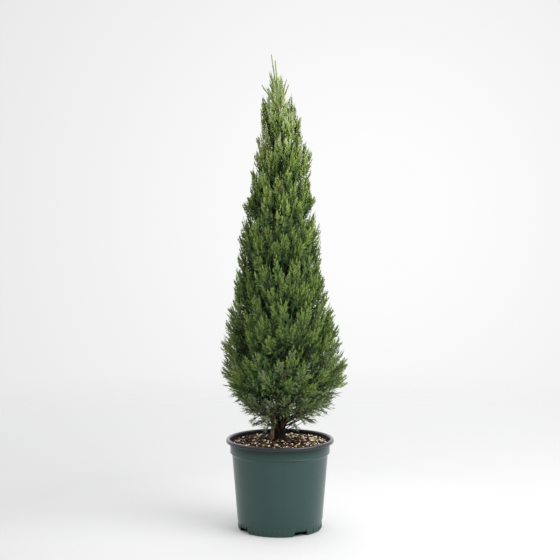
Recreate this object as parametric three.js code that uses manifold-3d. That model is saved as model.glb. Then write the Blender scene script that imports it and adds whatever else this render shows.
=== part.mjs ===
// A Chinese juniper grown as a slim flame, in its nursery pot.
// Millimetres, +Z up. The origin is the centre of the pot's flat underside, and the front is -Y.
import * as THREE from "three";
import { mergeVertices } from "three/addons/utils/BufferGeometryUtils.js";
import Module from "manifold-3d";

const wasm = await Module();
wasm.setup();

// Driving dimensions of the pot
const POT_HEIGHT = 302;
const LIP_RADIUS = 178;
const LIP_HEIGHT = 12;
const COLLAR_RADIUS = 165;
const COLLAR_FOOT = 254;
const BODY_TOP_RADIUS = 158;
const BODY_FOOT_RADIUS = 141;
const FOOT_RING_TOP = 30;
const FOOT_RADIUS = 137;
const POT_WALL = 2.6;
const POT_SIDES = 36;
const DRAIN_SLOTS = 4;
const SLOT_WIDTH = 44;
const SLOT_HEIGHT = 15;
const SLOT_DEPTH = 24;
const FIRST_SLOT_DEG = 30;

// Driving dimensions of the potting mix
const MIX_EDGE = 286;
const MIX_CROWN = 299;
const MIX_CROWN_RADIUS = 34;
const MIX_SIDES = 24;

// Clearance between solids that touch on the real plant
const CLEAR = 0.3;

// Driving dimensions of the trunk
const TRUNK_TIP = 1345;
const TRUNK_RADIUS = 17;
const TRUNK_FLARE = 4.5;
const FLARE_HEIGHT = 24;
const TRUNK_TIP_RADIUS = 1.8;

// The trunk sways a little, and its line leans over at the top
const TRUNK_SWAY = 4;
const TIP_LEAN = -23;
const TIP_LEAN_START = 1310;

// The outside of the crown from its hem up: [height, radius, how far its middle stands to the right]
const CROWN = [
  [318, 66, 4],
  [360, 108, 14],
  [410, 162, 17],
  [480, 201, 17],
  [565, 208, 14],
  [690, 186, 7],
  [760, 158, 3],
  [850, 143, -2],
  [1055, 124, 3],
  [1110, 101, 0],
  [1240, 92, 7],
  [1310, 75, 11],
  [1360, 60, -3],
  [1440, 47, -1],
  [1470, 36, 2],
  [1505, 19, 4],
  [1550, 3, 0],
];
const CROWN_TOP = CROWN.at(-1)[0];

// Tiers of foliage from the lowest up. A tier leaves the trunk at foot and rises, the later the more its sweep,
// to meet the outside of the crown at tip. turn rotates it about the trunk, in degrees, and bough is the bare
// run of its boughs, measured from the middle of the trunk.
const TIERS = [
  { count: 5, foot: 330, tip: 420, sweep: 0.85, turn: 20, bough: 36, sprays: 6 },
  { count: 6, foot: 390, tip: 572, sweep: 1.3, turn: 30, bough: 46, sprays: 7 },
  { count: 6, foot: 510, tip: 730, sweep: 1.5, turn: 0, bough: 0, sprays: 7 },
  { count: 5, foot: 664, tip: 882, sweep: 1.6, turn: 54, bough: 0, sprays: 7 },
  { count: 5, foot: 820, tip: 1030, sweep: 1.6, turn: 18, bough: 0, sprays: 6 },
  { count: 4, foot: 975, tip: 1170, sweep: 1.6, turn: 0, bough: 0, sprays: 6 },
  { count: 4, foot: 1110, tip: 1300, sweep: 1.6, turn: 45, bough: 0, sprays: 5 },
  { count: 3, foot: 1245, tip: 1418, sweep: 1.4, turn: 30, bough: 0, sprays: 6 },
];
const HEM_DEPTH = 30;
const HEAD_DEPTH = 44;
const SEAM = 2;

// Driving dimensions of boughs, stems, the cores of the masses and their sprays
const BOUGH_RADIUS = 6.5;
const BOUGH_TIP_RADIUS = 4.4;
const STEM_RADIUS = 3.4;
const STEM_SHARE = 0.5;
const TWIG_RADIUS = 1.5;
const FACET_SLACK = 1.5;
const CORE_FOOT = 0.22;
const CORE_END = 0.9;
const CORE_LEVEL = 0.44;
const CORE_ACROSS = 0.9;
const SPRAY_FOOT = 0.62;
const SPRAY_WIDTHS = [0.18, 0.13, 0.09, 0.06];
const SHOOT_WIDTHS = [0.085, 0.06];
const NEEDLE_SHARE = 0.34;
const NEEDLE_RADIUS = 3.6;
const NEEDLE_FOOT = 0.44;
const NEEDLE_LEAN = 1.3;
const BULGE = 0.4;

// The low stem on the trunk's left that carries one mass of the second tier
const SIDE_STEM = { tier: 1, member: 3, foot: [-25, -13], radius: 6.2, tipRadius: 4.4 };

// The leader carries on from the trunk's tip
const LEADER_SHOOTS = 16;
const LEADER_SHOOT_LENGTH = 104;
const LEADER_CORE_RADIUS = 10;

const GOLDEN_ANGLE = Math.PI * (3 - Math.sqrt(5));
const GOLDEN_SHARE = (Math.sqrt(5) - 1) / 2;
const UP = new THREE.Vector3(0, 0, 1);
const { degToRad, lerp, clamp, smoothstep } = THREE.MathUtils;

const COLOURS = {
  pot: [0x3f5c54, 0.45],
  mix: [0x4a3527, 0.95],
  bark: [0x5a4536, 0.9],
  foliage: [0x4f7a33, 0.7],
};

// A number from 0 to 1 that is the same for the same seeds in any language
function chance(tier, member, draw) {
  const wave = Math.sin(tier * 12.9898 + member * 78.233 + draw * 37.719) * 43758.5453;
  return wave - Math.floor(wave);
}

function solidOf(geometry) {
  const bare = geometry.index ? geometry.toNonIndexed() : geometry.clone();
  bare.deleteAttribute("normal");
  bare.deleteAttribute("uv");
  const merged = mergeVertices(bare, 1e-4);
  const triVerts = new Uint32Array(merged.index.array);
  const vertProperties = merged.attributes.position.array;
  const made = new wasm.Manifold(new wasm.Mesh({ numProp: 3, vertProperties, triVerts }));
  if (made.volume() >= 0) return made;
  for (let i = 0; i < triVerts.length; i += 3) {
    [triVerts[i + 1], triVerts[i + 2]] = [triVerts[i + 2], triVerts[i + 1]];
  }
  return new wasm.Manifold(new wasm.Mesh({ numProp: 3, vertProperties, triVerts }));
}

const join = (solids) => solids.reduce((sum, next) => sum.add(next));

// The largest body of a solid: a scrap that a cut leaves loose is dropped
const wholeBody = (solid) => solid.decompose().sort((a, b) => b.volume() - a.volume())[0];

function meshOf(name, solid, [colour, roughness]) {
  const { vertProperties, triVerts } = wholeBody(solid).getMesh();
  const geometry = new THREE.BufferGeometry();
  geometry.setAttribute("position", new THREE.BufferAttribute(new Float32Array(vertProperties), 3));
  geometry.setIndex(new THREE.BufferAttribute(new Uint32Array(triVerts), 1));
  geometry.computeVertexNormals();
  const material = new THREE.MeshStandardMaterial({ color: colour, roughness, metalness: 0, flatShading: true });
  const mesh = new THREE.Mesh(geometry, material);
  mesh.name = name;
  return mesh;
}

// A form turned from [radius, along] points, whose every point (across, along, over) placeOf then puts in place
function mapped(outline, sides, placeOf) {
  const points = outline.map(([radius, along]) => new THREE.Vector2(radius, along));
  const geometry = new THREE.LatheGeometry(points, sides);
  const place = geometry.attributes.position;
  for (let i = 0; i < place.count; i++) {
    const put = placeOf(place.getX(i), place.getY(i), place.getZ(i));
    place.setXYZ(i, put.x, put.y, put.z);
  }
  return solidOf(geometry);
}

// Turned about +Z from a closed outline of [radius, height] points
const turned = (outline, sides) => mapped(outline, sides, (x, y, z) => new THREE.Vector3(z, x, y));

// A tapering limb round a middle line, where pathAt(s) and radiusAt(s) run with s from 0 to 1
function limb(pathAt, radiusAt, sides, rings) {
  const outline = [[0, 0], ...Array.from({ length: rings + 1 }, (_, i) => [1, i / rings]), [0, 1]];
  return mapped(outline, sides, (x, s, z) => {
    const ahead = pathAt(Math.min(s + 0.01, 1)).sub(pathAt(Math.max(s - 0.01, 0))).normalize();
    const side = new THREE.Vector3(0, 1, 0).cross(ahead).normalize();
    const over = ahead.clone().cross(side);
    return pathAt(s).addScaledVector(side, x * radiusAt(s)).addScaledVector(over, z * radiusAt(s));
  });
}

// The pot: a turned wall with a rolled lip and a stepped collar, on a flat floor notched by the drain slots
function pot() {
  const lipFoot = POT_HEIGHT - LIP_HEIGHT;
  const outline = [
    [0, 0],
    [FOOT_RADIUS - 3, 0],
    [FOOT_RADIUS, 4],
    [FOOT_RADIUS + 2, FOOT_RING_TOP],
    [BODY_FOOT_RADIUS, FOOT_RING_TOP + 3],
    [BODY_TOP_RADIUS, COLLAR_FOOT - 6],
    [COLLAR_RADIUS - 1, COLLAR_FOOT],
    [COLLAR_RADIUS, lipFoot],
    [LIP_RADIUS - 2, lipFoot],
    [LIP_RADIUS, lipFoot + 3],
    [LIP_RADIUS, POT_HEIGHT - 4],
    [LIP_RADIUS - 4, POT_HEIGHT],
    [COLLAR_RADIUS + 2, POT_HEIGHT],
    [COLLAR_RADIUS - POT_WALL, POT_HEIGHT - 5],
    [COLLAR_RADIUS - POT_WALL, COLLAR_FOOT],
    [BODY_TOP_RADIUS - POT_WALL, COLLAR_FOOT - 7],
    [FOOT_RADIUS - POT_WALL, POT_WALL + 8],
    [FOOT_RADIUS - 8, POT_WALL],
    [0, POT_WALL],
  ];
  let shell = turned(outline, POT_SIDES);
  for (let i = 0; i < DRAIN_SLOTS; i++) {
    const angle = degToRad(FIRST_SLOT_DEG) + (i * 2 * Math.PI) / DRAIN_SLOTS;
    const middle = FOOT_RADIUS + 8 - SLOT_DEPTH / 2;
    const cutter = new THREE.BoxGeometry(SLOT_WIDTH, SLOT_DEPTH, 2 * SLOT_HEIGHT);
    cutter.rotateZ(angle).translate(middle * Math.sin(angle), -middle * Math.cos(angle), 0);
    shell = shell.subtract(solidOf(cutter));
  }
  return meshOf("pot", shell, COLOURS.pot);
}

// The potting mix fills the pot and swells up round the trunk
function pottingMix() {
  const wallFoot = POT_WALL + 8;
  const wallTop = COLLAR_FOOT - 7;
  const wall = (height) => {
    const share = (height - wallFoot) / (wallTop - wallFoot);
    return lerp(FOOT_RADIUS, BODY_TOP_RADIUS, share) - POT_WALL - 1;
  };
  const collar = COLLAR_RADIUS - POT_WALL - 1;
  const slotRoof = SLOT_HEIGHT + CLEAR;
  const slotBack = FOOT_RADIUS + 7 - SLOT_DEPTH;
  const outline = [
    [0, POT_WALL + CLEAR],
    [slotBack, POT_WALL + CLEAR],
    [slotBack, slotRoof],
    [wall(slotRoof), slotRoof],
    [wall(wallTop), wallTop],
    [collar, COLLAR_FOOT + 1],
    [collar, MIX_EDGE],
    [collar * 0.62, lerp(MIX_EDGE, MIX_CROWN, 0.35)],
    [MIX_CROWN_RADIUS, MIX_CROWN],
    [0, MIX_CROWN],
  ];
  return meshOf("potting_mix", turned(outline, MIX_SIDES), COLOURS.mix);
}

// The trunk's middle at a height, and that of the leader above it
function middleAt(height) {
  const rise = (height - MIX_CROWN) / (CROWN_TOP - MIX_CROWN);
  const lean = TIP_LEAN * clamp((height - TIP_LEAN_START) / (CROWN_TOP - TIP_LEAN_START), 0, 1) ** 1.3;
  const sway = TRUNK_SWAY * Math.sin(Math.PI * rise);
  return new THREE.Vector3(sway * Math.sin(3 * Math.PI * rise) + lean, sway * Math.sin(2 * Math.PI * rise), height);
}

function trunkRadius(height) {
  const share = clamp((height - MIX_CROWN) / (TRUNK_TIP - MIX_CROWN), 0, 1);
  const flare = TRUNK_FLARE * Math.exp(-Math.max(height - MIX_CROWN, 0) / FLARE_HEIGHT);
  return lerp(TRUNK_RADIUS, TRUNK_TIP_RADIUS, share ** 0.85) + flare;
}

function trunkSolid(grown) {
  const heightAt = (s) => lerp(MIX_CROWN + CLEAR - grown, TRUNK_TIP + grown, s ** 1.25);
  return limb((s) => middleAt(heightAt(s)), (s) => trunkRadius(heightAt(s)) + grown, 10, 12);
}

// The crown's radius at a height and how far its middle stands to the right, straight between the given heights
function crownAt(height) {
  const above = clamp(CROWN.findIndex(([at]) => at >= height), 1, CROWN.length - 1);
  const [low, high] = [CROWN[above - 1], CROWN[height > CROWN_TOP ? above - 1 : above]];
  const share = clamp((height - low[0]) / (high[0] - low[0] || 1), 0, 1);
  return { radius: lerp(low[1], high[1], share), shift: lerp(low[2], high[2], share) };
}

// A point of the crown: share is its distance out from the trunk, 1 at the crown's outside
function crownPoint(share, azimuth, height) {
  const { radius, shift } = crownAt(height);
  const out = new THREE.Vector3(radius * Math.cos(azimuth) + shift, radius * Math.sin(azimuth), 0);
  return middleAt(height).addScaledVector(out, share);
}

// The share of the way out and the azimuth of a point of the crown
function crownShare(point) {
  const { radius, shift } = crownAt(point.z);
  const offset = point.clone().sub(middleAt(point.z));
  let share = 0;
  for (let i = 0; i < 6; i++) share = Math.hypot(offset.x - share * shift, offset.y) / radius;
  return { share, azimuth: Math.atan2(offset.y, offset.x - share * shift) };
}

// The height of a tier at a share of the way out, and the floor and ceiling of its space there
function tierHeight(index, share) {
  const { foot, tip, sweep } = TIERS[index];
  return lerp(foot, tip, share ** sweep);
}

function tierFloor(index, share) {
  const own = tierHeight(index, share);
  return index === 0 ? own - HEM_DEPTH : (own + tierHeight(index - 1, share)) / 2;
}

function tierCeiling(index, share) {
  const own = tierHeight(index, share);
  return index === TIERS.length - 1 ? own + HEAD_DEPTH : (own + tierHeight(index + 1, share)) / 2;
}

// One mass: the middle azimuth of its space, half its spread, and its line from trunk to tip. In its space,
// across runs from -1 to 1 between its neighbours, and level from 0 to 1 between the tiers below and above.
function massPlan(index, member) {
  const tier = TIERS[index];
  const half = Math.PI / tier.count;
  const azimuth = degToRad(tier.turn) + 2 * half * member;
  const placeAt = (share, across, level) => {
    const height = lerp(tierFloor(index, share), tierCeiling(index, share), level);
    return crownPoint(share, azimuth + half * across, height);
  };
  const lineAt = (share) => crownPoint(share, azimuth, tierHeight(index, share));
  let start = 0;
  while (tier.bough > 0 && lineAt(start).distanceTo(middleAt(lineAt(start).z)) < tier.bough) start += 0.005;
  return { tier, index, member, half, azimuth, placeAt, lineAt, start };
}

// True where a point lies in the mass's own space, short of its seams with the masses round it
function keepsToSpace(plan, point) {
  const { share, azimuth } = crownShare(point);
  const turn = azimuth - plan.azimuth;
  const aside = Math.abs(Math.atan2(Math.sin(turn), Math.cos(turn)));
  if ((plan.half - aside) * share * crownAt(point.z).radius < SEAM) return false;
  return point.z > tierFloor(plan.index, share) + SEAM && point.z < tierCeiling(plan.index, share) - SEAM;
}

// A straight tapering rod, three-sided, from one point to another
function rod(from, to, radius, tipRadius) {
  const pathAt = (s) => from.clone().lerp(to, s);
  return limb(pathAt, (s) => lerp(radius, tipRadius, s), 3, 1);
}

// A spray of needles: a slim four-sided core from root to tip, and a needled shoot that stands out of it.
// fits says of a corner whether it may stand there. The spray is grown slimmer where it must, or left out.
function spray(root, tip, facing, roll, widths, fits) {
  const ahead = tip.clone().sub(root);
  const length = ahead.length();
  ahead.normalize();
  const across = ahead.clone().cross(facing).normalize();
  const over = across.clone().cross(ahead);
  for (const halfWidth of widths.map((share) => share * length)) {
    const cornerAt = (x, s, z) => {
      const middle = root.clone().addScaledVector(ahead, length * s);
      return middle.addScaledVector(across, x * halfWidth).addScaledVector(over, z * halfWidth);
    };
    const needleTip = cornerAt(NEEDLE_LEAN * Math.cos(roll), NEEDLE_FOOT + NEEDLE_SHARE, NEEDLE_LEAN * Math.sin(roll));
    const corners = [[1, 0], [0, 1], [-1, 0], [0, -1]].map(([x, z]) => cornerAt(x, BULGE, z));
    if ([...corners, cornerAt(0, 1, 0), needleTip].every(fits)) {
      const core = mapped([[0, 0], [1, BULGE], [0, 1]], 4, cornerAt);
      return [core.add(rod(cornerAt(0, NEEDLE_FOOT, 0), needleTip, NEEDLE_RADIUS, 0.5))];
    }
  }
  return [];
}

// A mass of foliage: its stem, twigs and sprays, and the dense core that the sprays stand out of
function massSolid(plan, trunkClear) {
  const { tier, index, member, placeAt, lineAt, start } = plan;
  const coreFoot = Math.max(start + 0.04, CORE_FOOT);
  const core = mapped([[0, 0], [0.7, 0.08], [1, 0.5], [0.86, 0.86], [0, 1]], 8, (x, s, z) => {
    const lump = 1 - 0.12 * chance(index, member, 40 + 10 * s);
    return placeAt(lerp(coreFoot, CORE_END, s), CORE_ACROSS * x * lump, 0.5 + CORE_LEVEL * z * lump);
  });
  const stemFoot = start > 0 ? start + CLEAR / crownAt(tier.foot).radius : 0;
  const stemAt = (s) => lineAt(lerp(stemFoot, CORE_END, s));
  const stemRadius = Math.min(STEM_RADIUS, STEM_SHARE * trunkRadius(tier.foot));
  const twigRadius = Math.min(TWIG_RADIUS, stemRadius);
  const parts = [core, limb(stemAt, (s) => lerp(stemRadius, twigRadius, s), 3, 2)];
  for (let i = 0; i < tier.sprays; i++) {
    const across = 0.86 * (2 * ((i * GOLDEN_SHARE + chance(index, member, 1)) % 1) - 1);
    const level = lerp(0.03, 0.97, (i + 0.5) / tier.sprays);
    const root = placeAt(SPRAY_FOOT, across * 0.6, lerp(0.46, level, 0.5));
    const tip = root.clone().lerp(placeAt(1, across, level), lerp(0.92, 1.04, chance(index, member, 10 + i)));
    const facing = new THREE.Vector3(Math.cos(plan.azimuth), Math.sin(plan.azimuth), 0);
    const roll = 2 * Math.PI * chance(index, member, 60 + i);
    const grown = spray(root, tip, facing, roll, SPRAY_WIDTHS, (corner) => keepsToSpace(plan, corner));
    if (grown.length > 0) parts.push(rod(stemAt(0.6), root, twigRadius, twigRadius), ...grown);
  }
  return join(parts).simplify(FACET_SLACK).subtract(trunkClear);
}

// A bough: one tapering limb from the trunk to the foot of its mass
function boughSolid(plan, trunkClear) {
  const boughAt = (s) => plan.lineAt(plan.start * s);
  return limb(boughAt, (s) => lerp(BOUGH_RADIUS, BOUGH_TIP_RADIUS, s), 7, 3).subtract(trunkClear);
}

// The side stem rises from the mix and bends out to meet the stem of its mass end to end
function sideStemSolid(plan, trunkClear) {
  const { foot: place, radius, tipRadius } = SIDE_STEM;
  const foot = new THREE.Vector3(...place, MIX_CROWN + CLEAR);
  const tip = plan.lineAt(plan.start);
  const reach = 0.5 * (tip.z - foot.z);
  const ahead = plan.lineAt(plan.start + 0.01).sub(tip).normalize();
  const upFromFoot = foot.clone().addScaledVector(UP, reach);
  const curve = new THREE.CubicBezierCurve3(foot, upFromFoot, tip.clone().addScaledVector(ahead, -0.6 * reach), tip);
  const grown = limb((s) => curve.getPoint(s), (s) => lerp(radius, tipRadius, s), 8, 6);
  return grown.subtract(trunkClear);
}

// The leader: a slim core on from the trunk's tip, with shoots that stand up round it above the highest tier
function leaderSolid() {
  const heightAt = (s) => lerp(TRUNK_TIP + CLEAR, CROWN_TOP, s);
  const stem = limb((s) => middleAt(heightAt(s)), (s) => lerp(TRUNK_TIP_RADIUS, 0.8, s), 4, 4);
  const core = mapped([[0, 0.03], [1, 0.3], [0.6, 0.6], [0, 0.94]], 6, (x, s, y) =>
    middleAt(heightAt(s)).add(new THREE.Vector3(LEADER_CORE_RADIUS * x, LEADER_CORE_RADIUS * y, 0)),
  );
  const clearOfTiers = (corner) => {
    const { share } = crownShare(corner);
    return corner.z > tierCeiling(TIERS.length - 1, share) + SEAM && corner.z > TRUNK_TIP + SEAM;
  };
  const shoots = Array.from({ length: LEADER_SHOOTS }, (_, i) => {
    const rise = i / (LEADER_SHOOTS - 1);
    const root = middleAt(heightAt(lerp(0.1, 0.66, rise)));
    const azimuth = i * GOLDEN_ANGLE;
    const top = root.z + LEADER_SHOOT_LENGTH * lerp(0.8, 1, chance(TIERS.length, 0, i));
    const tip = crownPoint(lerp(1, 0.7, rise), azimuth, Math.min(top, CROWN_TOP - 8));
    const facing = new THREE.Vector3(Math.cos(azimuth), Math.sin(azimuth), 0);
    return spray(root, tip, facing, 2 * Math.PI * chance(TIERS.length, 1, i), SHOOT_WIDTHS, clearOfTiers);
  });
  return join([stem, core, ...shoots.flat()]).simplify(FACET_SLACK);
}

const group = new THREE.Group();
const trunkClear = trunkSolid(CLEAR);
group.add(pot(), pottingMix(), meshOf("trunk", trunkSolid(0), COLOURS.bark));
TIERS.forEach((tier, index) => {
  for (let member = 0; member < tier.count; member++) {
    const plan = massPlan(index, member);
    const label = `${index + 1}_${member + 1}`;
    const onSideStem = index === SIDE_STEM.tier && member === SIDE_STEM.member;
    if (onSideStem) group.add(meshOf("side_stem", sideStemSolid(plan, trunkClear), COLOURS.bark));
    else if (tier.bough > 0) group.add(meshOf(`bough_${label}`, boughSolid(plan, trunkClear), COLOURS.bark));
    group.add(meshOf(`foliage_${label}`, massSolid(plan, trunkClear), COLOURS.foliage));
  }
});
group.add(meshOf("foliage_leader", leaderSolid(), COLOURS.foliage));

export default group;
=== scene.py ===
# %% [markdown]
# A Chinese juniper grown as a slim flame, standing in its nursery pot.
# The pot, trunk, boughs and masses of foliage come as plain solids that say how large everything
# is and where it stands. This file dresses them: moulded plastic, bark, potting mix and more than
# two hundred thousand fine shoots. Everything is in metres, +Z is up, and the front is -Y.

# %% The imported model
import math

import bmesh
import bpy
import numpy as np
from mathutils import Matrix, Vector, noise


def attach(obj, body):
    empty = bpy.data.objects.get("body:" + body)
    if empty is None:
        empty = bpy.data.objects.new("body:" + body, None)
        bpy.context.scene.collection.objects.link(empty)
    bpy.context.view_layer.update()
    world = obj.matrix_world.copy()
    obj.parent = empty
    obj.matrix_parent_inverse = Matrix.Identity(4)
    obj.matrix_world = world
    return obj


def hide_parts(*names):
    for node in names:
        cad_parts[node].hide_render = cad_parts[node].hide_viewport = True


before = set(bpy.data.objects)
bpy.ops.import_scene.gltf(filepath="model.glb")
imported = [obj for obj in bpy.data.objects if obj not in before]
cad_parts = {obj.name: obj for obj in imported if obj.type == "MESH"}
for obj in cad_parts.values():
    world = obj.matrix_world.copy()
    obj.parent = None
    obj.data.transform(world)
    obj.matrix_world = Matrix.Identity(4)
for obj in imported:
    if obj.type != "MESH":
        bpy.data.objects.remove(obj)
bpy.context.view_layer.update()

# %% [markdown]
# First come the sizes that the plant and the pot are grown from. They are the same ones as in the
# solids, so every finer form lands on the solid that it stands for. Lengths are written in
# millimetres, as a nursery would, and turned to metres by one factor.

# %% Sizes of the pot and the mix
MM = 0.001
POT_HEIGHT = 302 * MM
LIP_RADIUS = 178 * MM
LIP_HEIGHT = 12 * MM
COLLAR_RADIUS = 165 * MM
COLLAR_FOOT = 254 * MM
BODY_TOP_RADIUS = 158 * MM
BODY_FOOT_RADIUS = 141 * MM
FOOT_RING_TOP = 30 * MM
FOOT_RADIUS = 137 * MM
POT_WALL = 2.6 * MM
SLOT_HEIGHT = 15 * MM
FIRST_SLOT = math.radians(30)
MIX_EDGE = 286 * MM
MIX_CROWN = 299 * MM
MIX_CROWN_RADIUS = 34 * MM

# %% Sizes of the trunk and the crown
TRUNK_TIP = 1345 * MM
TRUNK_RADIUS = 17 * MM
TRUNK_FLARE = 4.5 * MM
FLARE_HEIGHT = 24 * MM
TRUNK_TIP_RADIUS = 1.8 * MM
TRUNK_SWAY = 4 * MM
TIP_LEAN = -23 * MM
TIP_LEAN_START = 1310 * MM

# height, radius of the crown and how far its middle stands to the right, in millimetres
CROWN = MM * np.array([
    (318, 66, 4), (360, 108, 14), (410, 162, 17), (480, 201, 17), (565, 208, 14), (690, 186, 7),
    (760, 158, 3), (850, 143, -2), (1055, 124, 3), (1110, 101, 0), (1240, 92, 7), (1310, 75, 11),
    (1360, 60, -3), (1440, 47, -1), (1470, 36, 2), (1505, 19, 4), (1550, 3, 0),
])
CROWN_TOP = CROWN[-1, 0]

# Each tier of foliage leaves the trunk at foot and meets the outside of the crown at tip. Turn is
# its first azimuth, and bough how far its boughs stay bare. The last three numbers are this file's
# own: plumes to a mass, side plumes to a plume and how far a side plume reaches.
TIERS = [
    dict(count=5, foot=330, tip=420, sweep=0.85, turn=20, bough=36, plumes=5, forks=9, reach=58),
    dict(count=6, foot=390, tip=572, sweep=1.3, turn=30, bough=46, plumes=7, forks=15, reach=68),
    dict(count=6, foot=510, tip=730, sweep=1.5, turn=0, bough=0, plumes=7, forks=15, reach=68),
    dict(count=5, foot=664, tip=882, sweep=1.6, turn=54, bough=0, plumes=7, forks=15, reach=66),
    dict(count=5, foot=820, tip=1030, sweep=1.6, turn=18, bough=0, plumes=7, forks=14, reach=62),
    dict(count=4, foot=975, tip=1170, sweep=1.6, turn=0, bough=0, plumes=7, forks=13, reach=56),
    dict(count=4, foot=1110, tip=1300, sweep=1.6, turn=45, bough=0, plumes=6, forks=12, reach=50),
    dict(count=3, foot=1245, tip=1418, sweep=1.4, turn=30, bough=0, plumes=7, forks=10, reach=42),
]
HEM_DEPTH = 30 * MM
HEAD_DEPTH = 44 * MM
BOUGH_RADIUS = 6.5 * MM
BOUGH_TIP_RADIUS = 4.4 * MM
STEM_RADIUS = 3.4 * MM
TWIG_RADIUS = 1.5 * MM
STEM_END = 0.9
SIDE_STEM = dict(tier=1, member=3, foot=(-25 * MM, -13 * MM), radius=6.2 * MM, tip_radius=4.4 * MM)
GOLDEN_ANGLE = math.pi * (3 - math.sqrt(5))
GOLDEN_SHARE = (math.sqrt(5) - 1) / 2
UP = np.array((0.0, 0.0, 1.0))
print("tiers:", len(TIERS), "masses:", sum(tier["count"] for tier in TIERS) + 1)

# %% [markdown]
# The crown is worked out by a rule and not by hand. A point of it is told by three numbers: its
# share of the way out from the trunk to the crown's outside, its azimuth and its height. The trunk
# sways a little and leans at the top, and everything that grows on it follows its middle line.
# The functions take single numbers or whole arrays, because numpy then places thousands of
# shoots in one step.

# %% The rule of the crown
SHARE_ROUNDS = 6


def lerp(low, high, share):
    return low + (high - low) * share


def chance(tier, member, draw):
    """A number from 0 to 1 that is always the same for the same tier, member and draw."""
    wave = np.sin(tier * 12.9898 + member * 78.233 + draw * 37.719) * 43758.5453
    return wave - np.floor(wave)


def unit(arrows):
    return arrows / np.maximum(np.linalg.norm(arrows, axis=-1, keepdims=True), 1e-9)


def middle_at(height):
    height = np.asarray(height, float)
    rise = (height - MIX_CROWN) / (CROWN_TOP - MIX_CROWN)
    bent = np.clip((height - TIP_LEAN_START) / (CROWN_TOP - TIP_LEAN_START), 0, 1) ** 1.3
    sway = TRUNK_SWAY * np.sin(np.pi * rise)
    across = sway * np.sin(3 * np.pi * rise) + TIP_LEAN * bent
    return np.stack([across, sway * np.sin(2 * np.pi * rise), height], axis=-1)


def trunk_radius(height):
    share = np.clip((height - MIX_CROWN) / (TRUNK_TIP - MIX_CROWN), 0, 1)
    flare = TRUNK_FLARE * np.exp(-np.maximum(height - MIX_CROWN, 0) / FLARE_HEIGHT)
    return lerp(TRUNK_RADIUS, TRUNK_TIP_RADIUS, share ** 0.85) + flare


def crown_point(share, azimuth, height):
    radius = np.interp(height, CROWN[:, 0], CROWN[:, 1])
    shift = np.interp(height, CROWN[:, 0], CROWN[:, 2])
    out = np.stack([radius * np.cos(azimuth) + shift, radius * np.sin(azimuth), 0 * radius], -1)
    return middle_at(height) + np.asarray(share)[..., None] * out


def crown_share(points):
    """How far out points lie. The crown's middle shifts with the share, so it takes a few rounds."""
    radius = np.interp(points[..., 2], CROWN[:, 0], CROWN[:, 1])
    shift = np.interp(points[..., 2], CROWN[:, 0], CROWN[:, 2])
    offset = points - middle_at(points[..., 2])
    share = np.zeros(radius.shape)
    for _ in range(SHARE_ROUNDS):
        share = np.hypot(offset[..., 0] - share * shift, offset[..., 1]) / radius
    return share


# %% The spaces of the masses
def tier_height(index, share):
    tier = TIERS[index]
    return MM * lerp(tier["foot"], tier["tip"], np.asarray(share, float) ** tier["sweep"])


def tier_floor(index, share):
    own = tier_height(index, share)
    return own - HEM_DEPTH if index == 0 else (own + tier_height(index - 1, share)) / 2


def tier_ceiling(index, share):
    own = tier_height(index, share)
    last = index == len(TIERS) - 1
    return own + HEAD_DEPTH if last else (own + tier_height(index + 1, share)) / 2


START_STEP = 0.005


class MassPlan:
    """The space of one mass: where it points, how wide it is, and its line from trunk to tip."""

    def __init__(self, index, member):
        self.tier, self.index, self.member = TIERS[index], index, member
        self.half = math.pi / self.tier["count"]
        self.azimuth = math.radians(self.tier["turn"]) + 2 * self.half * member
        self.start = 0.0
        while self.tier["bough"] > 0 and self.bare_run() < self.tier["bough"] * MM:
            self.start += START_STEP

    def bare_run(self):
        point = self.line_at(self.start)
        return np.linalg.norm(point - middle_at(point[2]))

    def line_at(self, share):
        return crown_point(share, self.azimuth, tier_height(self.index, share))

    def place_at(self, share, across, level):
        height = lerp(tier_floor(self.index, share), tier_ceiling(self.index, share), level)
        return crown_point(share, self.azimuth + self.half * across, height)


PLANS = [MassPlan(i, member) for i, tier in enumerate(TIERS) for member in range(tier["count"])]
print("widest crown:", round(2 * CROWN[:, 1].max(), 3), "m, top at", CROWN_TOP, "m")

# %% [markdown]
# Thousands of small things would be far too slow as objects. Instead one small pattern, such as a
# shoot of four points, is placed again and again by arrays of origins and directions, and all of it
# becomes one mesh. Each copy's faces can point at another material slot, which is how colours are
# dealt out.

# %% Joined meshes from arrays
NEARLY_UPRIGHT = 0.94


def piece_from_arrays(name, points, faces, materials, slots=None, smooth=False):
    mesh = bpy.data.meshes.new(name)
    corners = faces.shape[1]
    mesh.vertices.add(len(points))
    mesh.vertices.foreach_set("co", np.ascontiguousarray(points, np.float32).ravel())
    mesh.loops.add(faces.size)
    mesh.loops.foreach_set("vertex_index", np.ascontiguousarray(faces, np.int32).ravel())
    mesh.polygons.add(len(faces))
    mesh.polygons.foreach_set("loop_start", np.arange(len(faces), dtype=np.int32) * corners)
    for material in materials:
        mesh.materials.append(material)
    if slots is not None:
        mesh.polygons.foreach_set("material_index", np.ascontiguousarray(slots, np.int32))
    mesh.polygons.foreach_set("use_smooth", np.full(len(faces), smooth))
    mesh.update(calc_edges=True)
    mesh.validate()
    piece = bpy.data.objects.new(name, mesh)
    bpy.context.scene.collection.objects.link(piece)
    return piece


def frame_round(ahead):
    """Two directions square to each direction, so that side, over and ahead are right-handed."""
    hint = np.where(np.abs(ahead[..., 2:3]) > NEARLY_UPRIGHT, np.array((1.0, 0, 0)), UP)
    side = unit(np.cross(ahead, hint))
    return side, np.cross(ahead, side)


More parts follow.
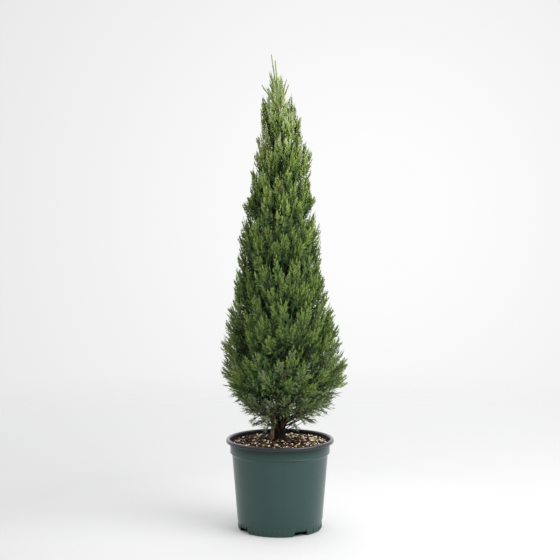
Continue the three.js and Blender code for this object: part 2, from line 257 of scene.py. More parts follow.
def copies(pattern, faces, origins, ahead, roll, lengths, widths):
    """Points and faces of a pattern placed at every origin. The pattern's z runs ahead."""
    side, over = frame_round(ahead)
    turn = roll[:, None]
    side, over = side * np.cos(turn) + over * np.sin(turn), over * np.cos(turn) - side * np.sin(turn)
    x, y, z = (pattern[None, :, i, None] for i in range(3))
    wide, far = widths[:, None, None], lengths[:, None, None]
    along = origins[:, None] + far * z * ahead[:, None]
    placed = along + wide * (x * side[:, None] + y * over[:, None])
    first = np.arange(len(origins))[:, None, None] * len(pattern)
    return placed.reshape(-1, 3), (faces[None] + first).reshape(-1, faces.shape[1])


def tubes(paths, radii, sides=3):
    """Closed tapering tubes along many paths of equally many points."""
    count, steps = paths.shape[:2]
    side, over = frame_round(unit(np.gradient(paths, axis=1)))
    turn = 2 * np.pi * np.arange(sides) / sides
    ring = side[:, :, None] * np.cos(turn)[:, None] + over[:, :, None] * np.sin(turn)[:, None]
    points = (paths[:, :, None] + radii[:, :, None, None] * ring).reshape(-1, 3)
    a = np.arange(steps - 1)[:, None] * sides + np.arange(sides)
    b = np.arange(steps - 1)[:, None] * sides + (np.arange(sides) + 1) % sides
    wall = np.concatenate([np.stack([a, b, b + sides], -1), np.stack([a, b + sides, a + sides], -1)])
    wedge = np.arange(1, sides - 1)
    head = np.stack([0 * wedge, wedge, wedge + 1], -1) + (steps - 1) * sides
    foot = np.stack([0 * wedge, wedge + 1, wedge], -1)
    one = np.concatenate([wall.reshape(-1, 3), foot, head])
    first = np.arange(count)[:, None, None] * steps * sides
    return points, (one[None] + first).reshape(-1, 3)


# %% [markdown]
# Every finish is made of nodes. What several of them share sits in node groups: a fine grain that
# changes roughness and height a little, and a dust that lies on moulded plastic. A group gives out
# only values and colours, so each material keeps its own Principled shader, where everything that
# is the same all over the surface is set.

# %% Node groups
CLOUD_LOW, CLOUD_HIGH = 0.3, 0.7


def new_group(name, inputs, outputs):
    """A group with its number inputs, each with a value to start from, and its outputs."""
    group = bpy.data.node_groups.new(name, "ShaderNodeTree")
    for label, value in inputs.items():
        socket = group.interface.new_socket(name=label, in_out="INPUT", socket_type="NodeSocketFloat")
        socket.default_value = value
    for label in outputs:
        group.interface.new_socket(name=label, in_out="OUTPUT", socket_type="NodeSocketFloat")
    return group, group.nodes.new("NodeGroupInput"), group.nodes.new("NodeGroupOutput")


def add(tree, kind, **settings):
    """A new node. Each setting is one of the node's own, or else the value of a socket."""
    node = tree.nodes.new("ShaderNode" + kind)
    for label, value in settings.items():
        if hasattr(node, label):
            setattr(node, label, value)
        else:
            node.inputs[label.replace("_", " ").title()].default_value = value
    return node


def scaled_noise(tree, scale_socket, detail, stretch=(1, 1, 1)):
    """A cloud that stays put on the object, stretched where one of the three numbers is small."""
    place = add(tree, "TexCoord")
    mapping = add(tree, "Mapping")
    mapping.inputs["Scale"].default_value = stretch
    cloud = add(tree, "TexNoise", detail=detail)
    tree.links.new(place.outputs["Object"], mapping.inputs["Vector"])
    tree.links.new(mapping.outputs["Vector"], cloud.inputs["Vector"])
    tree.links.new(scale_socket, cloud.inputs["Scale"])
    return cloud.outputs["Fac"]


def ranged(tree, value, low_socket, high_socket):
    spread = add(tree, "MapRange")
    tree.links.new(value, spread.inputs["Value"])
    spread.inputs["From Min"].default_value = CLOUD_LOW
    spread.inputs["From Max"].default_value = CLOUD_HIGH
    tree.links.new(low_socket, spread.inputs["To Min"])
    tree.links.new(high_socket, spread.inputs["To Max"])
    return spread.outputs["Result"]


def make_grain_group():
    inputs = {"Scale": 400.0, "Smoothest": 0.5, "Roughest": 0.7}
    group, given, told = new_group("fine grain", inputs, ["Roughness", "Height"])
    cloud = scaled_noise(group, given.outputs["Scale"], 4.0)
    rough = ranged(group, cloud, given.outputs["Smoothest"], given.outputs["Roughest"])
    group.links.new(rough, told.inputs["Roughness"])
    group.links.new(cloud, told.inputs["Height"])
    return group


def make_dust_group():
    group, given, told = new_group("settled dust", {"Scale": 9.0, "Least": 0.0, "Most": 0.3}, ["Mask"])
    wide = scaled_noise(group, given.outputs["Scale"], 6.0)
    mask = ranged(group, wide, given.outputs["Least"], given.outputs["Most"])
    group.links.new(mask, told.inputs["Mask"])
    return group


GRAIN = make_grain_group()
DUST = make_dust_group()
print("node groups:", GRAIN.name, "and", DUST.name)


# %% Helpers for materials
def linear(colour):
    """The linear values of a colour given as red, green and blue from 0 to 255."""
    share = np.array(colour) / 255
    low, high = share / 12.92, ((share + 0.055) / 1.055) ** 2.4
    return (*np.where(share <= 0.04045, low, high).tolist(), 1.0)


def new_material(name, colour, specular=0.5):
    material = bpy.data.materials.new(name)
    material.use_nodes = True
    shader = material.node_tree.nodes["Principled BSDF"]
    shader.inputs["Base Color"].default_value = linear(colour)
    shader.inputs["Specular IOR Level"].default_value = specular
    return material, material.node_tree, shader


def use_group(tree, group, **values):
    node = add(tree, "Group")
    node.node_tree = group
    for label, value in values.items():
        node.inputs[label].default_value = value
    return node


def grain_into(tree, shader, scale, smoothest, roughest, depth):
    grain = use_group(tree, GRAIN, Scale=scale, Smoothest=smoothest, Roughest=roughest)
    bump = add(tree, "Bump")
    bump.inputs["Strength"].default_value = 0.6
    bump.inputs["Distance"].default_value = depth
    tree.links.new(grain.outputs["Roughness"], shader.inputs["Roughness"])
    tree.links.new(grain.outputs["Height"], bump.inputs["Height"])
    tree.links.new(bump.outputs["Normal"], shader.inputs["Normal"])
    return grain


def mixed_colours(tree, mask, first, second):
    mix = add(tree, "Mix", data_type="RGBA")
    tree.links.new(mask, mix.inputs["Factor"])
    for socket in mix.inputs:
        if socket.type == "RGBA" and socket.name in "AB":
            socket.default_value = linear(first if socket.name == "A" else second)
    return next(socket for socket in mix.outputs if socket.type == "RGBA")


def ranged_between(tree, value, first, last, low, high):
    """A value that runs from low to high while the given one runs from first to last."""
    node = add(tree, "MapRange")
    tree.links.new(value, node.inputs["Value"])
    for label, number in zip(("From Min", "From Max", "To Min", "To Max"), (first, last, low, high)):
        node.inputs[label].default_value = number
    return node.outputs["Result"]


def object_axes(tree):
    place = add(tree, "TexCoord")
    axes = add(tree, "SeparateXYZ")
    tree.links.new(place.outputs["Object"], axes.inputs[0])
    return axes.outputs


# %% [markdown]
# The pot is moulded from dull green plastic, with a black lip and a black inner wall. One plain
# colour would look like paint, so a thin dust veils it unevenly. Just under the lip a painted shade
# darkens the wall and takes its shine. The height on the pot tells where.

# %% Plastic of the pot
# heights between which a painted shade under the lip darkens the pot and takes its shine
LIP_SHADE_FROM, LIP_SHADE_TO = 258 * MM, 280 * MM
MOULD_GRAIN = 900.0
MOULD_RELIEF = 0.06 * MM
DUST_SCALE = 7.0


def make_plastic(name, colour, dusty, smoothest, roughest, dust, specular=0.5, damp=1.0):
    """Dust lies on the plastic. Damp is what the painted shade under the lip leaves of brightness and
    shine.
    """
    material, tree, shader = new_material(name, colour)
    grain_into(tree, shader, MOULD_GRAIN, smoothest, roughest, MOULD_RELIEF)
    veil = use_group(tree, DUST, Scale=DUST_SCALE, Least=0.0, Most=dust)
    shade = mixed_colours(tree, veil.outputs["Mask"], colour, dusty)
    # painted shade under the lip: brightness and shine fall towards the lip, down to the share given
    # as damp
    left = ranged_between(tree, object_axes(tree)["Z"], LIP_SHADE_FROM, LIP_SHADE_TO, 1.0, damp)
    painted_lip_shade = add(tree, "HueSaturation")
    tree.links.new(left, painted_lip_shade.inputs["Value"])
    tree.links.new(shade, painted_lip_shade.inputs["Color"])
    tree.links.new(painted_lip_shade.outputs["Color"], shader.inputs["Base Color"])
    shine = add(tree, "Math", operation="MULTIPLY")
    shine.inputs[1].default_value = specular
    tree.links.new(left, shine.inputs[0])
    tree.links.new(shine.outputs[0], shader.inputs["Specular IOR Level"])
    return material


# damp=0.64 is the painted shade under the lip, which leaves 64 per cent of brightness and shine
POT_GREEN = make_plastic(
    "green moulded plastic", (31, 66, 60), (64, 88, 84),
    smoothest=0.26, roughest=0.34, dust=0.16, damp=0.64)
LIP_BLACK = make_plastic(
    "black lip", (17, 19, 22), (50, 51, 53),
    smoothest=0.22, roughest=0.34, dust=0.12, specular=0.68)
INNER_BLACK = make_plastic(
    "black inner wall", (6, 7, 8), (14, 14, 15),
    smoothest=0.5, roughest=0.65, dust=0.1, specular=0.18)
print("plastics:", [plastic.name for plastic in (POT_GREEN, LIP_BLACK, INNER_BLACK)])

# %% [markdown]
# Bark and damp mix are dark in their furrows and lighter on their ridges. One cloud of noise gives
# both the colour and the relief, so that the two always agree, and for bark it is stretched
# upright. Chips and twigs are too small to need that: they get one colour each and a fine grain.

# %% Bark, wood chips and ground
ALONG_THE_LIMB = (1, 1, 0.12)
EVEN = (1, 1, 1)
FURROW, STRIP = 0.38, 0.66
BARK_RELIEF = 1.2 * MM


def make_bark(name, dark, light, stretch, scale):
    """Dark furrows and lighter strips, out of one stretched cloud that also gives the relief."""
    material, tree, shader = new_material(name, dark, 0.25)
    scale_value = add(tree, "Value")
    scale_value.outputs[0].default_value = scale
    fibres = scaled_noise(tree, scale_value.outputs[0], 8.0, stretch)
    ramp = add(tree, "ValToRGB")
    for stop, place, colour in zip(ramp.color_ramp.elements, (FURROW, STRIP), (dark, light)):
        stop.position, stop.color = place, linear(colour)
    tree.links.new(fibres, ramp.inputs["Fac"])
    tree.links.new(ramp.outputs["Color"], shader.inputs["Base Color"])
    bump = add(tree, "Bump")
    bump.inputs["Strength"].default_value = 0.8
    bump.inputs["Distance"].default_value = BARK_RELIEF
    tree.links.new(fibres, bump.inputs["Height"])
    tree.links.new(bump.outputs["Normal"], shader.inputs["Normal"])
    grain = use_group(tree, GRAIN, Scale=300.0, Smoothest=0.75, Roughest=0.98)
    tree.links.new(grain.outputs["Roughness"], shader.inputs["Roughness"])
    return material


def make_grained(name, colour, scale=500.0, smoothest=0.7, roughest=0.95, depth=0.4 * MM):
    material, tree, shader = new_material(name, colour, 0.15)
    grain_into(tree, shader, scale, smoothest, roughest, depth)
    return material


# the bark of trunk and boughs is darkened by a painted shade, as they stand in the crown's shade; the
# side stem's lighter bark is a painted light that sets it off in front of the trunk
BARK = make_bark("fibrous bark", (17, 13, 10), (46, 35, 28), ALONG_THE_LIMB, 220.0)
PAINTED_LIGHT_BARK = make_bark("bark with painted light", (100, 78, 60), (176, 146, 118), ALONG_THE_LIMB, 220.0)
GROUND = make_bark("damp potting mix", (13, 10, 8), (42, 31, 23), EVEN, 160.0)
TWIG = make_grained("brown twig", (104, 87, 72))
CHIP_TONES = {
    "dark bark chip": (31, 22, 16), "brown bark chip": (84, 61, 45), "tan wood chip": (150, 116, 84),
    "cream wood chip": (240, 212, 168), "pale grit": (255, 245, 222),
}
CHIPS = [make_grained(name, colour) for name, colour in CHIP_TONES.items()]
print("chips:", len(CHIPS), "tones")

# %% [markdown]
# The crown runs from deep green inside to pale yellow-green at its tips, and is greyer near the
# foot. The darker inside is partly painted shade and the paler top partly painted light. Eight
# plain greens are made here, and each shoot gets one of them by its place, because a painted
# pattern wouldn't hold on so many small blades.

# %% Greens of the foliage
# from the shaded inside of the crown to the palest tips, and last the grey of old foliage
GREEN_TONES = {
    "shaded needle green": (52, 66, 48), "deep needle green": (66, 87, 56),
    "needle green": (85, 111, 67), "full needle green": (109, 138, 72),
    "fresh needle green": (134, 159, 80), "young shoot green": (162, 183, 104),
    "pale tip green": (196, 206, 158), "grey needle green": (134, 148, 109),
}
GREENS = [
    make_grained(name, colour, scale=700.0, smoothest=0.62, roughest=0.85, depth=0.2 * MM)
    for name, colour in GREEN_TONES.items()
]
GREY_GREEN = len(GREENS) - 1
print("materials:", len(bpy.data.materials))

# %% [markdown]
# The pot is a real injection-moulded one: green outside, black inside, with a rolled lip, a stepped
# collar, a thin foot ring and four drain slots. Turning one outline about the upright axis gives
# all of that but the slots, because a spin keeps wall, lip and floor in one closed skin. The slots
# are then cut by a Boolean with four small wedges, as the mould's own inserts would form them.

# %% The pot's outline
POT_STEPS = 180


def arc(centre, radius, first, last, steps):
    angles = [math.radians(lerp(first, last, i / steps)) for i in range(steps + 1)]
    return [(centre[0] + radius * math.cos(a), centre[1] + radius * math.sin(a)) for a in angles]


def pot_outline():
    """Radius and height of each corner, from the middle of the foot up the outside and down again."""
    lip_foot = POT_HEIGHT - LIP_HEIGHT
    roll = 6.2 * MM
    bead = 2.6 * MM
    outside = [
        (0, 0),
        *arc((FOOT_RADIUS - 3 * MM, 3 * MM), 3 * MM, -90, -8, 4),
        (FOOT_RADIUS + 1.8 * MM, FOOT_RING_TOP - 0.6 * MM),
        (FOOT_RADIUS + 2.6 * MM, FOOT_RING_TOP),
        (BODY_FOOT_RADIUS - 0.2 * MM, FOOT_RING_TOP + 2.4 * MM),
        (BODY_FOOT_RADIUS, FOOT_RING_TOP + 3 * MM),
        (BODY_TOP_RADIUS, COLLAR_FOOT - 8 * MM),
        (BODY_TOP_RADIUS + 0.4 * MM, COLLAR_FOOT - 6 * MM),
        (BODY_TOP_RADIUS + 1.6 * MM, COLLAR_FOOT - 3.5 * MM),
        (COLLAR_RADIUS - 3.2 * MM, COLLAR_FOOT - 0.5 * MM),
        *arc((COLLAR_RADIUS - bead, COLLAR_FOOT + bead), bead, -60, 60, 6),
        (COLLAR_RADIUS - 0.6 * MM, COLLAR_FOOT + 8 * MM),
        (COLLAR_RADIUS, lip_foot - 1.4 * MM),
        (COLLAR_RADIUS + 1.2 * MM, lip_foot),
        *arc((LIP_RADIUS - 1.6 * MM, lip_foot + 1.6 * MM), 1.6 * MM, -90, 0, 3),
    ]
    rim = arc((LIP_RADIUS - roll, POT_HEIGHT - roll), roll, 0, 180, 12)
    inside = [
        (COLLAR_RADIUS - POT_WALL + 1 * MM, POT_HEIGHT - 12 * MM),
        (COLLAR_RADIUS - POT_WALL, POT_HEIGHT - 16 * MM),
        (COLLAR_RADIUS - POT_WALL, COLLAR_FOOT),
        (BODY_TOP_RADIUS - POT_WALL, COLLAR_FOOT - 7 * MM),
        (FOOT_RADIUS - POT_WALL, POT_WALL + 8 * MM),
        (FOOT_RADIUS - 8 * MM, POT_WALL),
        (0, POT_WALL),
    ]
    return outside + rim + inside


# %% Helpers for modelled pieces
def finish_piece(name, bm, materials, sharp=35):
    bmesh.ops.recalc_face_normals(bm, faces=bm.faces[:])
    mesh = bpy.data.meshes.new(name)
    bm.to_mesh(mesh)
    bm.free()
    for material in materials:
        mesh.materials.append(material)
    mesh.shade_smooth()
    mesh.set_sharp_from_angle(angle=math.radians(sharp))
    piece = bpy.data.objects.new(name, mesh)
    bpy.context.scene.collection.objects.link(piece)
    return piece


def spun(outline, steps):
    bm = bmesh.new()
    line = [bm.verts.new((radius, 0, height)) for radius, height in outline]
    edges = [bm.edges.new(pair) for pair in zip(line, line[1:])]
    turn = dict(cent=(0, 0, 0), axis=(0, 0, 1), dvec=(0, 0, 0), angle=2 * math.pi)
    bmesh.ops.spin(bm, geom=line + edges, steps=steps, use_merge=True, **turn)
    bmesh.ops.remove_doubles(bm, verts=bm.verts[:], dist=1e-6)
    return bm


def settle(piece, *nodes, slot):
    """A dressed piece rides on the plant's one body and stands for its solids."""
    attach(piece, "root")
    if nodes:
        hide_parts(*nodes)
    return piece


# %% Turning the pot and cutting its slots
SLOT_FOOT_WIDTH = 57 * MM
SLOT_HEAD_WIDTH = 44 * MM
SLOT_REACH = (119 * MM, 152 * MM)


def slot_cutter():
    bm = bmesh.new()
    for i in range(4):
        made = bmesh.ops.create_cube(bm, size=1.0)["verts"]
        for vert in made:
            wide = SLOT_HEAD_WIDTH if vert.co.z > 0 else SLOT_FOOT_WIDTH
            radius = SLOT_REACH[1] if vert.co.y < 0 else SLOT_REACH[0]
            vert.co = (vert.co.x * wide, -radius, SLOT_HEIGHT if vert.co.z > 0 else -2 * MM)
        turn = Matrix.Rotation(FIRST_SLOT + i * math.pi / 2, 3, "Z")
        bmesh.ops.rotate(bm, verts=made, cent=(0, 0, 0), matrix=turn)
    return finish_piece("slot cutter", bm, [POT_GREEN])


def cut_away(piece, cutter):
    cut = piece.modifiers.new("drain slots", "BOOLEAN")
    cut.operation, cut.object, cut.solver = "DIFFERENCE", cutter, "EXACT"
    whole = bpy.data.meshes.new_from_object(piece.evaluated_get(bpy.context.evaluated_depsgraph_get()))
    piece.modifiers.clear()
    piece.data = whole
    bpy.data.objects.remove(cutter)


def make_pot():
    """The skin is black inside and on the lip, and green everywhere else."""
    bm = spun(pot_outline(), POT_STEPS)
    bmesh.ops.recalc_face_normals(bm, faces=bm.faces[:])
    black_above = POT_HEIGHT - LIP_HEIGHT - 0.2 * MM
    for face in bm.faces:
        place = face.calc_center_median()
        reach = math.hypot(place.x, place.y)
        wall = lerp(FOOT_RADIUS, BODY_TOP_RADIUS, place.z / COLLAR_FOOT) - 1.4 * MM
        hidden = reach < wall and place.z > 1.5 * MM
        facing_in = face.normal.xy.dot(place.xy) < 0 and reach < LIP_RADIUS - 10 * MM
        inside_collar = facing_in and COLLAR_FOOT - 8 * MM < place.z < POT_HEIGHT - 4 * MM
        inner = (hidden and place.z < black_above) or inside_collar
        face.material_index = 2 if inner else int(place.z > black_above)
    pot = finish_piece("nursery_pot", bm, [POT_GREEN, LIP_BLACK, INNER_BLACK])
    cut_away(pot, slot_cutter())
    return settle(pot, "pot", slot="pot")


pot = make_pot()
print("pot faces:", len(pot.data.polygons))

# %% [markdown]
# Short upright ribs stiffen the foot between the slots. On the real pot they stand less than two
# millimetres proud. One rib is a cube pulled slim, copied round the foot by rotation, and tapered
# at its head so that it dies away into the foot ring.

# %% Ribs of the foot
RIB_PITCH = 17 * MM
RIB_WIDTH = 2.6 * MM
RIB_STAND = 1.7 * MM


def make_ribs():
    bm = bmesh.new()
    count = round(2 * math.pi * FOOT_RADIUS / RIB_PITCH)
    half_slot = (SLOT_FOOT_WIDTH / 2 + 3 * MM) / FOOT_RADIUS
    for i in range(count):
        angle = 2 * math.pi * (i + 0.5) / count
        from_slot = (angle - FIRST_SLOT + math.pi / 4) % (math.pi / 2) - math.pi / 4
        foot = SLOT_HEIGHT + 2 * MM if abs(from_slot) < half_slot else 4 * MM
        made = bmesh.ops.create_cube(bm, size=1.0)["verts"]
        for vert in made:
            top, outer = vert.co.z > 0, vert.co.y < 0
            height = FOOT_RING_TOP - 2 * MM if top else foot
            skin = lerp(FOOT_RADIUS, FOOT_RADIUS + 1.8 * MM, height / FOOT_RING_TOP)
            proud = (0.1 * MM if top else RIB_STAND) if outer else -1 * MM
            vert.co = (vert.co.x * RIB_WIDTH * (0.6 if outer else 1), -skin - proud, height)
        bmesh.ops.rotate(bm, verts=made, cent=(0, 0, 0), matrix=Matrix.Rotation(angle, 3, "Z"))
    return settle(finish_piece("pot_foot_ribs", bm, [POT_GREEN]), slot="pot")


ribs = make_ribs()
print("rib faces:", len(ribs.data.polygons))

# %% [markdown]
# The potting mix is composted bark with wood chips and pale grit. It lies a finger below the lip
# and swells up round the trunk. Its ground is a spun outline whose points are lifted by noise, and
# the chips are loose shards in five tones, strewn over it as three joined meshes.

# %% Ground of the potting mix
GROUND_RINGS, GROUND_STEPS = 56, 128
LUMPS, CRUMBS = 90, 260


def mix_height(reach):
    steps = (0, MIX_CROWN_RADIUS, 0.62 * COLLAR_RADIUS, COLLAR_RADIUS)
    return np.interp(reach, steps, (MIX_CROWN, MIX_CROWN, lerp(MIX_EDGE, MIX_CROWN, 0.35), MIX_EDGE))


def make_ground():
    edge = COLLAR_RADIUS - POT_WALL - 1 * MM
    rings = [edge * i / GROUND_RINGS for i in range(GROUND_RINGS + 1)]
    top = [(reach, float(mix_height(reach))) for reach in rings]
    underside = COLLAR_FOOT - 12 * MM
    below = [(edge, COLLAR_FOOT + 2 * MM), (BODY_TOP_RADIUS - 6 * MM, underside), (0, underside)]
    bm = spun(top + below, GROUND_STEPS)
    for vert in bm.verts:
        if vert.co.z > MIX_EDGE - 1 * MM and vert.co.xy.length < edge - 1 * MM:
            lump = noise.noise(vert.co * LUMPS) * 2.2 * MM + noise.noise(vert.co * CRUMBS) * 1.1 * MM
            vert.co.z = min(vert.co.z + lump - 1.5 * MM, MIX_CROWN - 0.4 * MM)
    piece = finish_piece("potting_mix_ground", bm, [GROUND], 80)
    return settle(piece, "potting_mix", slot="potting_mix")


ground = make_ground()
print("ground faces:", len(ground.data.polygons))

# %% Chips strewn on the mix
SHARD = np.array([
    (-1, -0.6, 0), (0.9, -1, -0.1), (1, 0.7, 0.1), (-0.8, 1, 0),
    (-0.5, -0.3, 0.9), (0.6, 0.4, 1), (0, 0, -0.7),
])
SHARD_FACES = np.array([
    (0, 1, 4), (1, 2, 5), (1, 5, 4), (2, 3, 5), (3, 0, 4), (3, 4, 5),
    (1, 0, 6), (2, 1, 6), (3, 2, 6), (0, 3, 6),
])
SHARD_TILT = 0.35


def strewn(rng, count, edge):
    """Places spread evenly over the mix out to its edge, and how far from the middle they lie."""
    reach = edge * np.sqrt(rng.uniform(0.012, 1, count))
    azimuth = rng.uniform(0, 2 * np.pi, count)
    height = mix_height(reach) + rng.uniform(-1.2, 1.4, count) * MM
    return np.stack([reach * np.cos(azimuth), reach * np.sin(azimuth), height], -1), reach


def chip_piece(name, seed, count, sizes, thickness, tones, slot_weights, bare, left=1.0):
    """Loose shards, sized in millimetres and dealt out over the tones by weight. Bare tells how far
    from the trunk they begin, as a middle value and its spread in millimetres. Left is how many
    lie at the left, as a share of those at the right: fewer pale chips at the left is a painted
    shade, as the crown shades that side of the mix."""
    rng = np.random.default_rng(seed)
    places, reach = strewn(rng, count, COLLAR_RADIUS - POT_WALL - 6 * MM)
    clear = reach > np.maximum(TRUNK_RADIUS + 5 * MM, rng.normal(*bare, count) * MM)
    # pale chips thin out towards the left: a painted shade where the crown shades the mix
    clear &= rng.uniform(0, 1, count) < lerp(left, 1.0, 0.5 + 0.5 * places[:, 0] / COLLAR_RADIUS)
    places = places[clear]
    count = len(places)
    size = rng.uniform(*sizes, count) * MM / 2
    lie = [rng.normal(0, SHARD_TILT, count), rng.normal(0, SHARD_TILT, count), np.ones(count)]
    roll = rng.uniform(0, 2 * np.pi, count)
    flat = size * rng.uniform(*thickness, count)
    points, faces = copies(SHARD, SHARD_FACES, places, unit(np.stack(lie, -1)), roll, flat, size)
    jitter = rng.uniform(0.72, 1.28, (count, len(SHARD), 1))
    points = places[:, None] + (points.reshape(count, -1, 3) - places[:, None]) * jitter
    weights = np.array(slot_weights) / sum(slot_weights)
    slots = np.repeat(rng.choice(len(tones), count, p=weights), len(SHARD_FACES))
    piece = piece_from_arrays(name, points.reshape(-1, 3), faces, tones, slots)
    print(name, len(faces))
    return settle(piece, slot="potting_mix")


chip_piece("bark_chips", 11, 2600, (4, 11), (0.25, 0.7), CHIPS[:3], (6, 5, 0.8), bare=(0, 5))
# left=0.3: fewer pale chips at the left, a painted shade
chip_piece("wood_chips", 12, 330, (5, 11), (0.3, 0.8), CHIPS[2:4], (1, 3), bare=(60, 24), left=0.3)
chip_piece("pale_grit", 13, 480, (4.5, 10), (0.6, 1.0), CHIPS[3:5], (1, 6), bare=(70, 28), left=0.3)

# %% [markdown]
# Juniper bark is thin and fibrous and peels in long upright strips. A limb is a ring of edges that
# is extruded step by step along the limb's line, and its points are then pushed in and out by a
# noise that is stretched along the limb, so that the strips are real relief and not only shading.

# %% Limbs with the bark's relief
STRIPS, STRIP_RUN = 3.1, 26
FIBRES, FIBRE_RUN = 8.5, 60
TOES, TOE_RISE = 5, 18 * MM


def grow_limb(name, path, radii, sides, depth, lobes=0.0, bark=BARK):
    """A closed tapering limb: path holds its middle points and radii its radius at each. Lobes
    are the toes of the root flare, which fade out above the mix."""
    bm = bmesh.new()
    ahead = unit(np.gradient(path, axis=0))
    ring = bmesh.ops.create_circle(bm, segments=sides, radius=1.0, cap_ends=True)["verts"]
    layers = [ring]
    edges = [edge for edge in bm.edges if len(edge.link_faces) == 1]
    for _ in path[1:]:
        grown = bmesh.ops.extrude_edge_only(bm, edges=edges)["geom"]
        layers.append([item for item in grown if isinstance(item, bmesh.types.BMVert)])
        newest = set(layers[-1])
        edges = [item for item in grown if isinstance(item, bmesh.types.BMEdge)]
        edges = [edge for edge in edges if newest.issuperset(edge.verts)]
    for step, layer in enumerate(layers):
        turn = Vector((0, 0, 1)).rotation_difference(Vector(ahead[step])).to_matrix()
        for vert in layer:
            out = Vector((vert.co.x, vert.co.y, 0)).normalized()
            angle = math.atan2(out.y, out.x)
            along = float(path[step][2])
            strip = noise.noise(Vector((out.x * STRIPS, out.y * STRIPS, along * STRIP_RUN)))
            fibre = noise.noise(Vector((out.x * FIBRES, out.y * FIBRES, along * FIBRE_RUN)))
            relief = depth * (0.7 * strip + 0.5 * fibre)
            toe = lobes * math.cos(TOES * angle + 0.6) * math.exp(-(along - MIX_CROWN) / TOE_RISE)
            vert.co = Vector(path[step]) + turn @ (out * (radii[step] * (1 + relief + toe)))
    bmesh.ops.contextual_create(bm, geom=edges)
    return finish_piece(name, bm, [bark], 60)


# %% The trunk
BARE_TRUNK_TOP = 420 * MM
FINE_SPACING, COARSE_SPACING = 2.5 * MM, 7 * MM


def rings_between(first, last, spacing):
    return np.linspace(first, last, max(int((last - first) / spacing), 4))


trunk_heights = np.concatenate([
    rings_between(MIX_CROWN - 3 * MM, BARE_TRUNK_TOP, FINE_SPACING),
    rings_between(BARE_TRUNK_TOP + 4 * MM, TRUNK_TIP, COARSE_SPACING),
])
trunk_line, trunk_radii = middle_at(trunk_heights), trunk_radius(trunk_heights)
trunk = grow_limb("trunk_bark", trunk_line, trunk_radii, sides=36, depth=0.16, lobes=0.03)
settle(trunk, "trunk", slot="bark")
print("trunk faces:", len(trunk.data.polygons))

# %% Side stem and boughs
SIDE_STEM_STEPS, BOUGH_STEPS = 40, 16
LIMB_RELIEF = 0.2


def bezier(points, share):
    """The point at a share of the way along a smooth curve, by cutting its corners in turn."""
    share = np.asarray(share)[..., None]
    while len(points) > 1:
        points = [lerp(a, b, share) for a, b in zip(points, points[1:])]
    return points[0]


def side_stem_path(plan):
    foot = np.array((*SIDE_STEM["foot"], MIX_CROWN - 2 * MM))
    tip = plan.line_at(plan.start)
    reach = 0.5 * (tip[2] - foot[2])
    ahead = unit(plan.line_at(plan.start + 0.01) - tip)
    corners = [foot, foot + UP * reach, tip - 0.6 * reach * ahead, tip]
    return bezier(corners, np.linspace(0, 1, SIDE_STEM_STEPS))


def make_side_stem(plan):
    radii = np.linspace(SIDE_STEM["radius"], SIDE_STEM["tip_radius"], SIDE_STEM_STEPS)
    stem = grow_limb("side_stem_bark", side_stem_path(plan), radii, 20, LIMB_RELIEF, bark=PAINTED_LIGHT_BARK)
    settle(stem, "side_stem", slot="bark")


def make_bough(plan):
    label = f"{plan.index + 1}_{plan.member + 1}"
    path = plan.line_at(plan.start * np.linspace(0, 1, BOUGH_STEPS))
    radii = np.linspace(BOUGH_RADIUS, BOUGH_TIP_RADIUS, BOUGH_STEPS)
    bough = grow_limb(f"bough_{label}_bark", path, radii, 16, LIMB_RELIEF)
    settle(bough, f"bough_{label}", slot="bark")


for low_plan in [plan for plan in PLANS if plan.tier["bough"] > 0]:
    if (low_plan.index, low_plan.member) == (SIDE_STEM["tier"], SIDE_STEM["member"]):
        make_side_stem(low_plan)
    else:
        make_bough(low_plan)

# %% [markdown]
# The foliage grows by the same rule as the solids, carried further. Each mass has a stem, plumes
# leave the stem for the outside of the mass's space, side plumes stand round each plume in
# a spiral, and branchlets along each side plume like the fingers of a fan. The fans face away from
# the trunk, as a juniper turns them to the light. Short shoots thicken each branchlet to a cord.
# A shoot is a slim closed blade of four faces, widest near its foot. Every step works on all the
# curves of a mass at once: a curve is three arrays, the feet, the bends and the tips.

# %% A shoot and how it faces
SHOOT = np.array([(0, 0, 0), (-1, 0.4, 0.34), (1, 0.4, 0.34), (0, 0, 1)])
SHOOT_FACES = np.array([(0, 1, 2), (1, 3, 2), (0, 3, 1), (0, 2, 3)])
SHOOT_HALF_WIDTH = 1.2 * MM
LIGHT_FROM_ABOVE = 0.4
FACING_SPREAD = 0.35


def outward_at(places):
    """The way to the light: away from the trunk and a little up."""
    return unit(unit((places - middle_at(places[..., 2])) * (1, 1, 0)) + LIGHT_FROM_ABOVE * UP)


def faced_outward(rng, origin, heading, owner):
    """The roll that turns each blade's broad side to the light, with some spread for each blade
    and each branchlet. Owner tells the branchlet of a blade. The whips come last and have none."""
    side, over = frame_round(heading)
    facing = outward_at(origin)
    roll = np.arctan2(-(facing * side).sum(-1), (facing * over).sum(-1))
    roll += rng.normal(0, FACING_SPREAD, len(origin))
    roll[:len(owner)] += rng.normal(0, FACING_SPREAD, owner.max() + 1)[owner]
    return roll


# %% What stands along a curve
FAN_SCATTER = 0.62
LEAN_SPREAD = 6


def leaning(place, ahead, tilt, turn):
    """Directions that lean from ahead. A turn of 0 or half a circle lies in the fan facing outward."""
    side = unit(np.cross(ahead, outward_at(place)))
    front = np.cross(side, ahead)
    tilt, turn = tilt[..., None], turn[..., None]
    return np.cos(tilt) * ahead + np.sin(tilt) * (np.cos(turn) * side + np.sin(turn) * front)


def spiral(rng, rows, count):
    """Turns that go round a curve by the golden angle, as most buds do."""
    return np.arange(count) * GOLDEN_ANGLE + rng.uniform(0, 2 * np.pi, (rows, 1))


def fan(rng, rows, count):
    """Turns that go left and right by turns, so that all lies nearly flat."""
    sides = (np.arange(count) + rng.integers(0, 2, (rows, 1))) % 2
    return np.pi * sides + rng.normal(0, FAN_SCATTER, (rows, count))


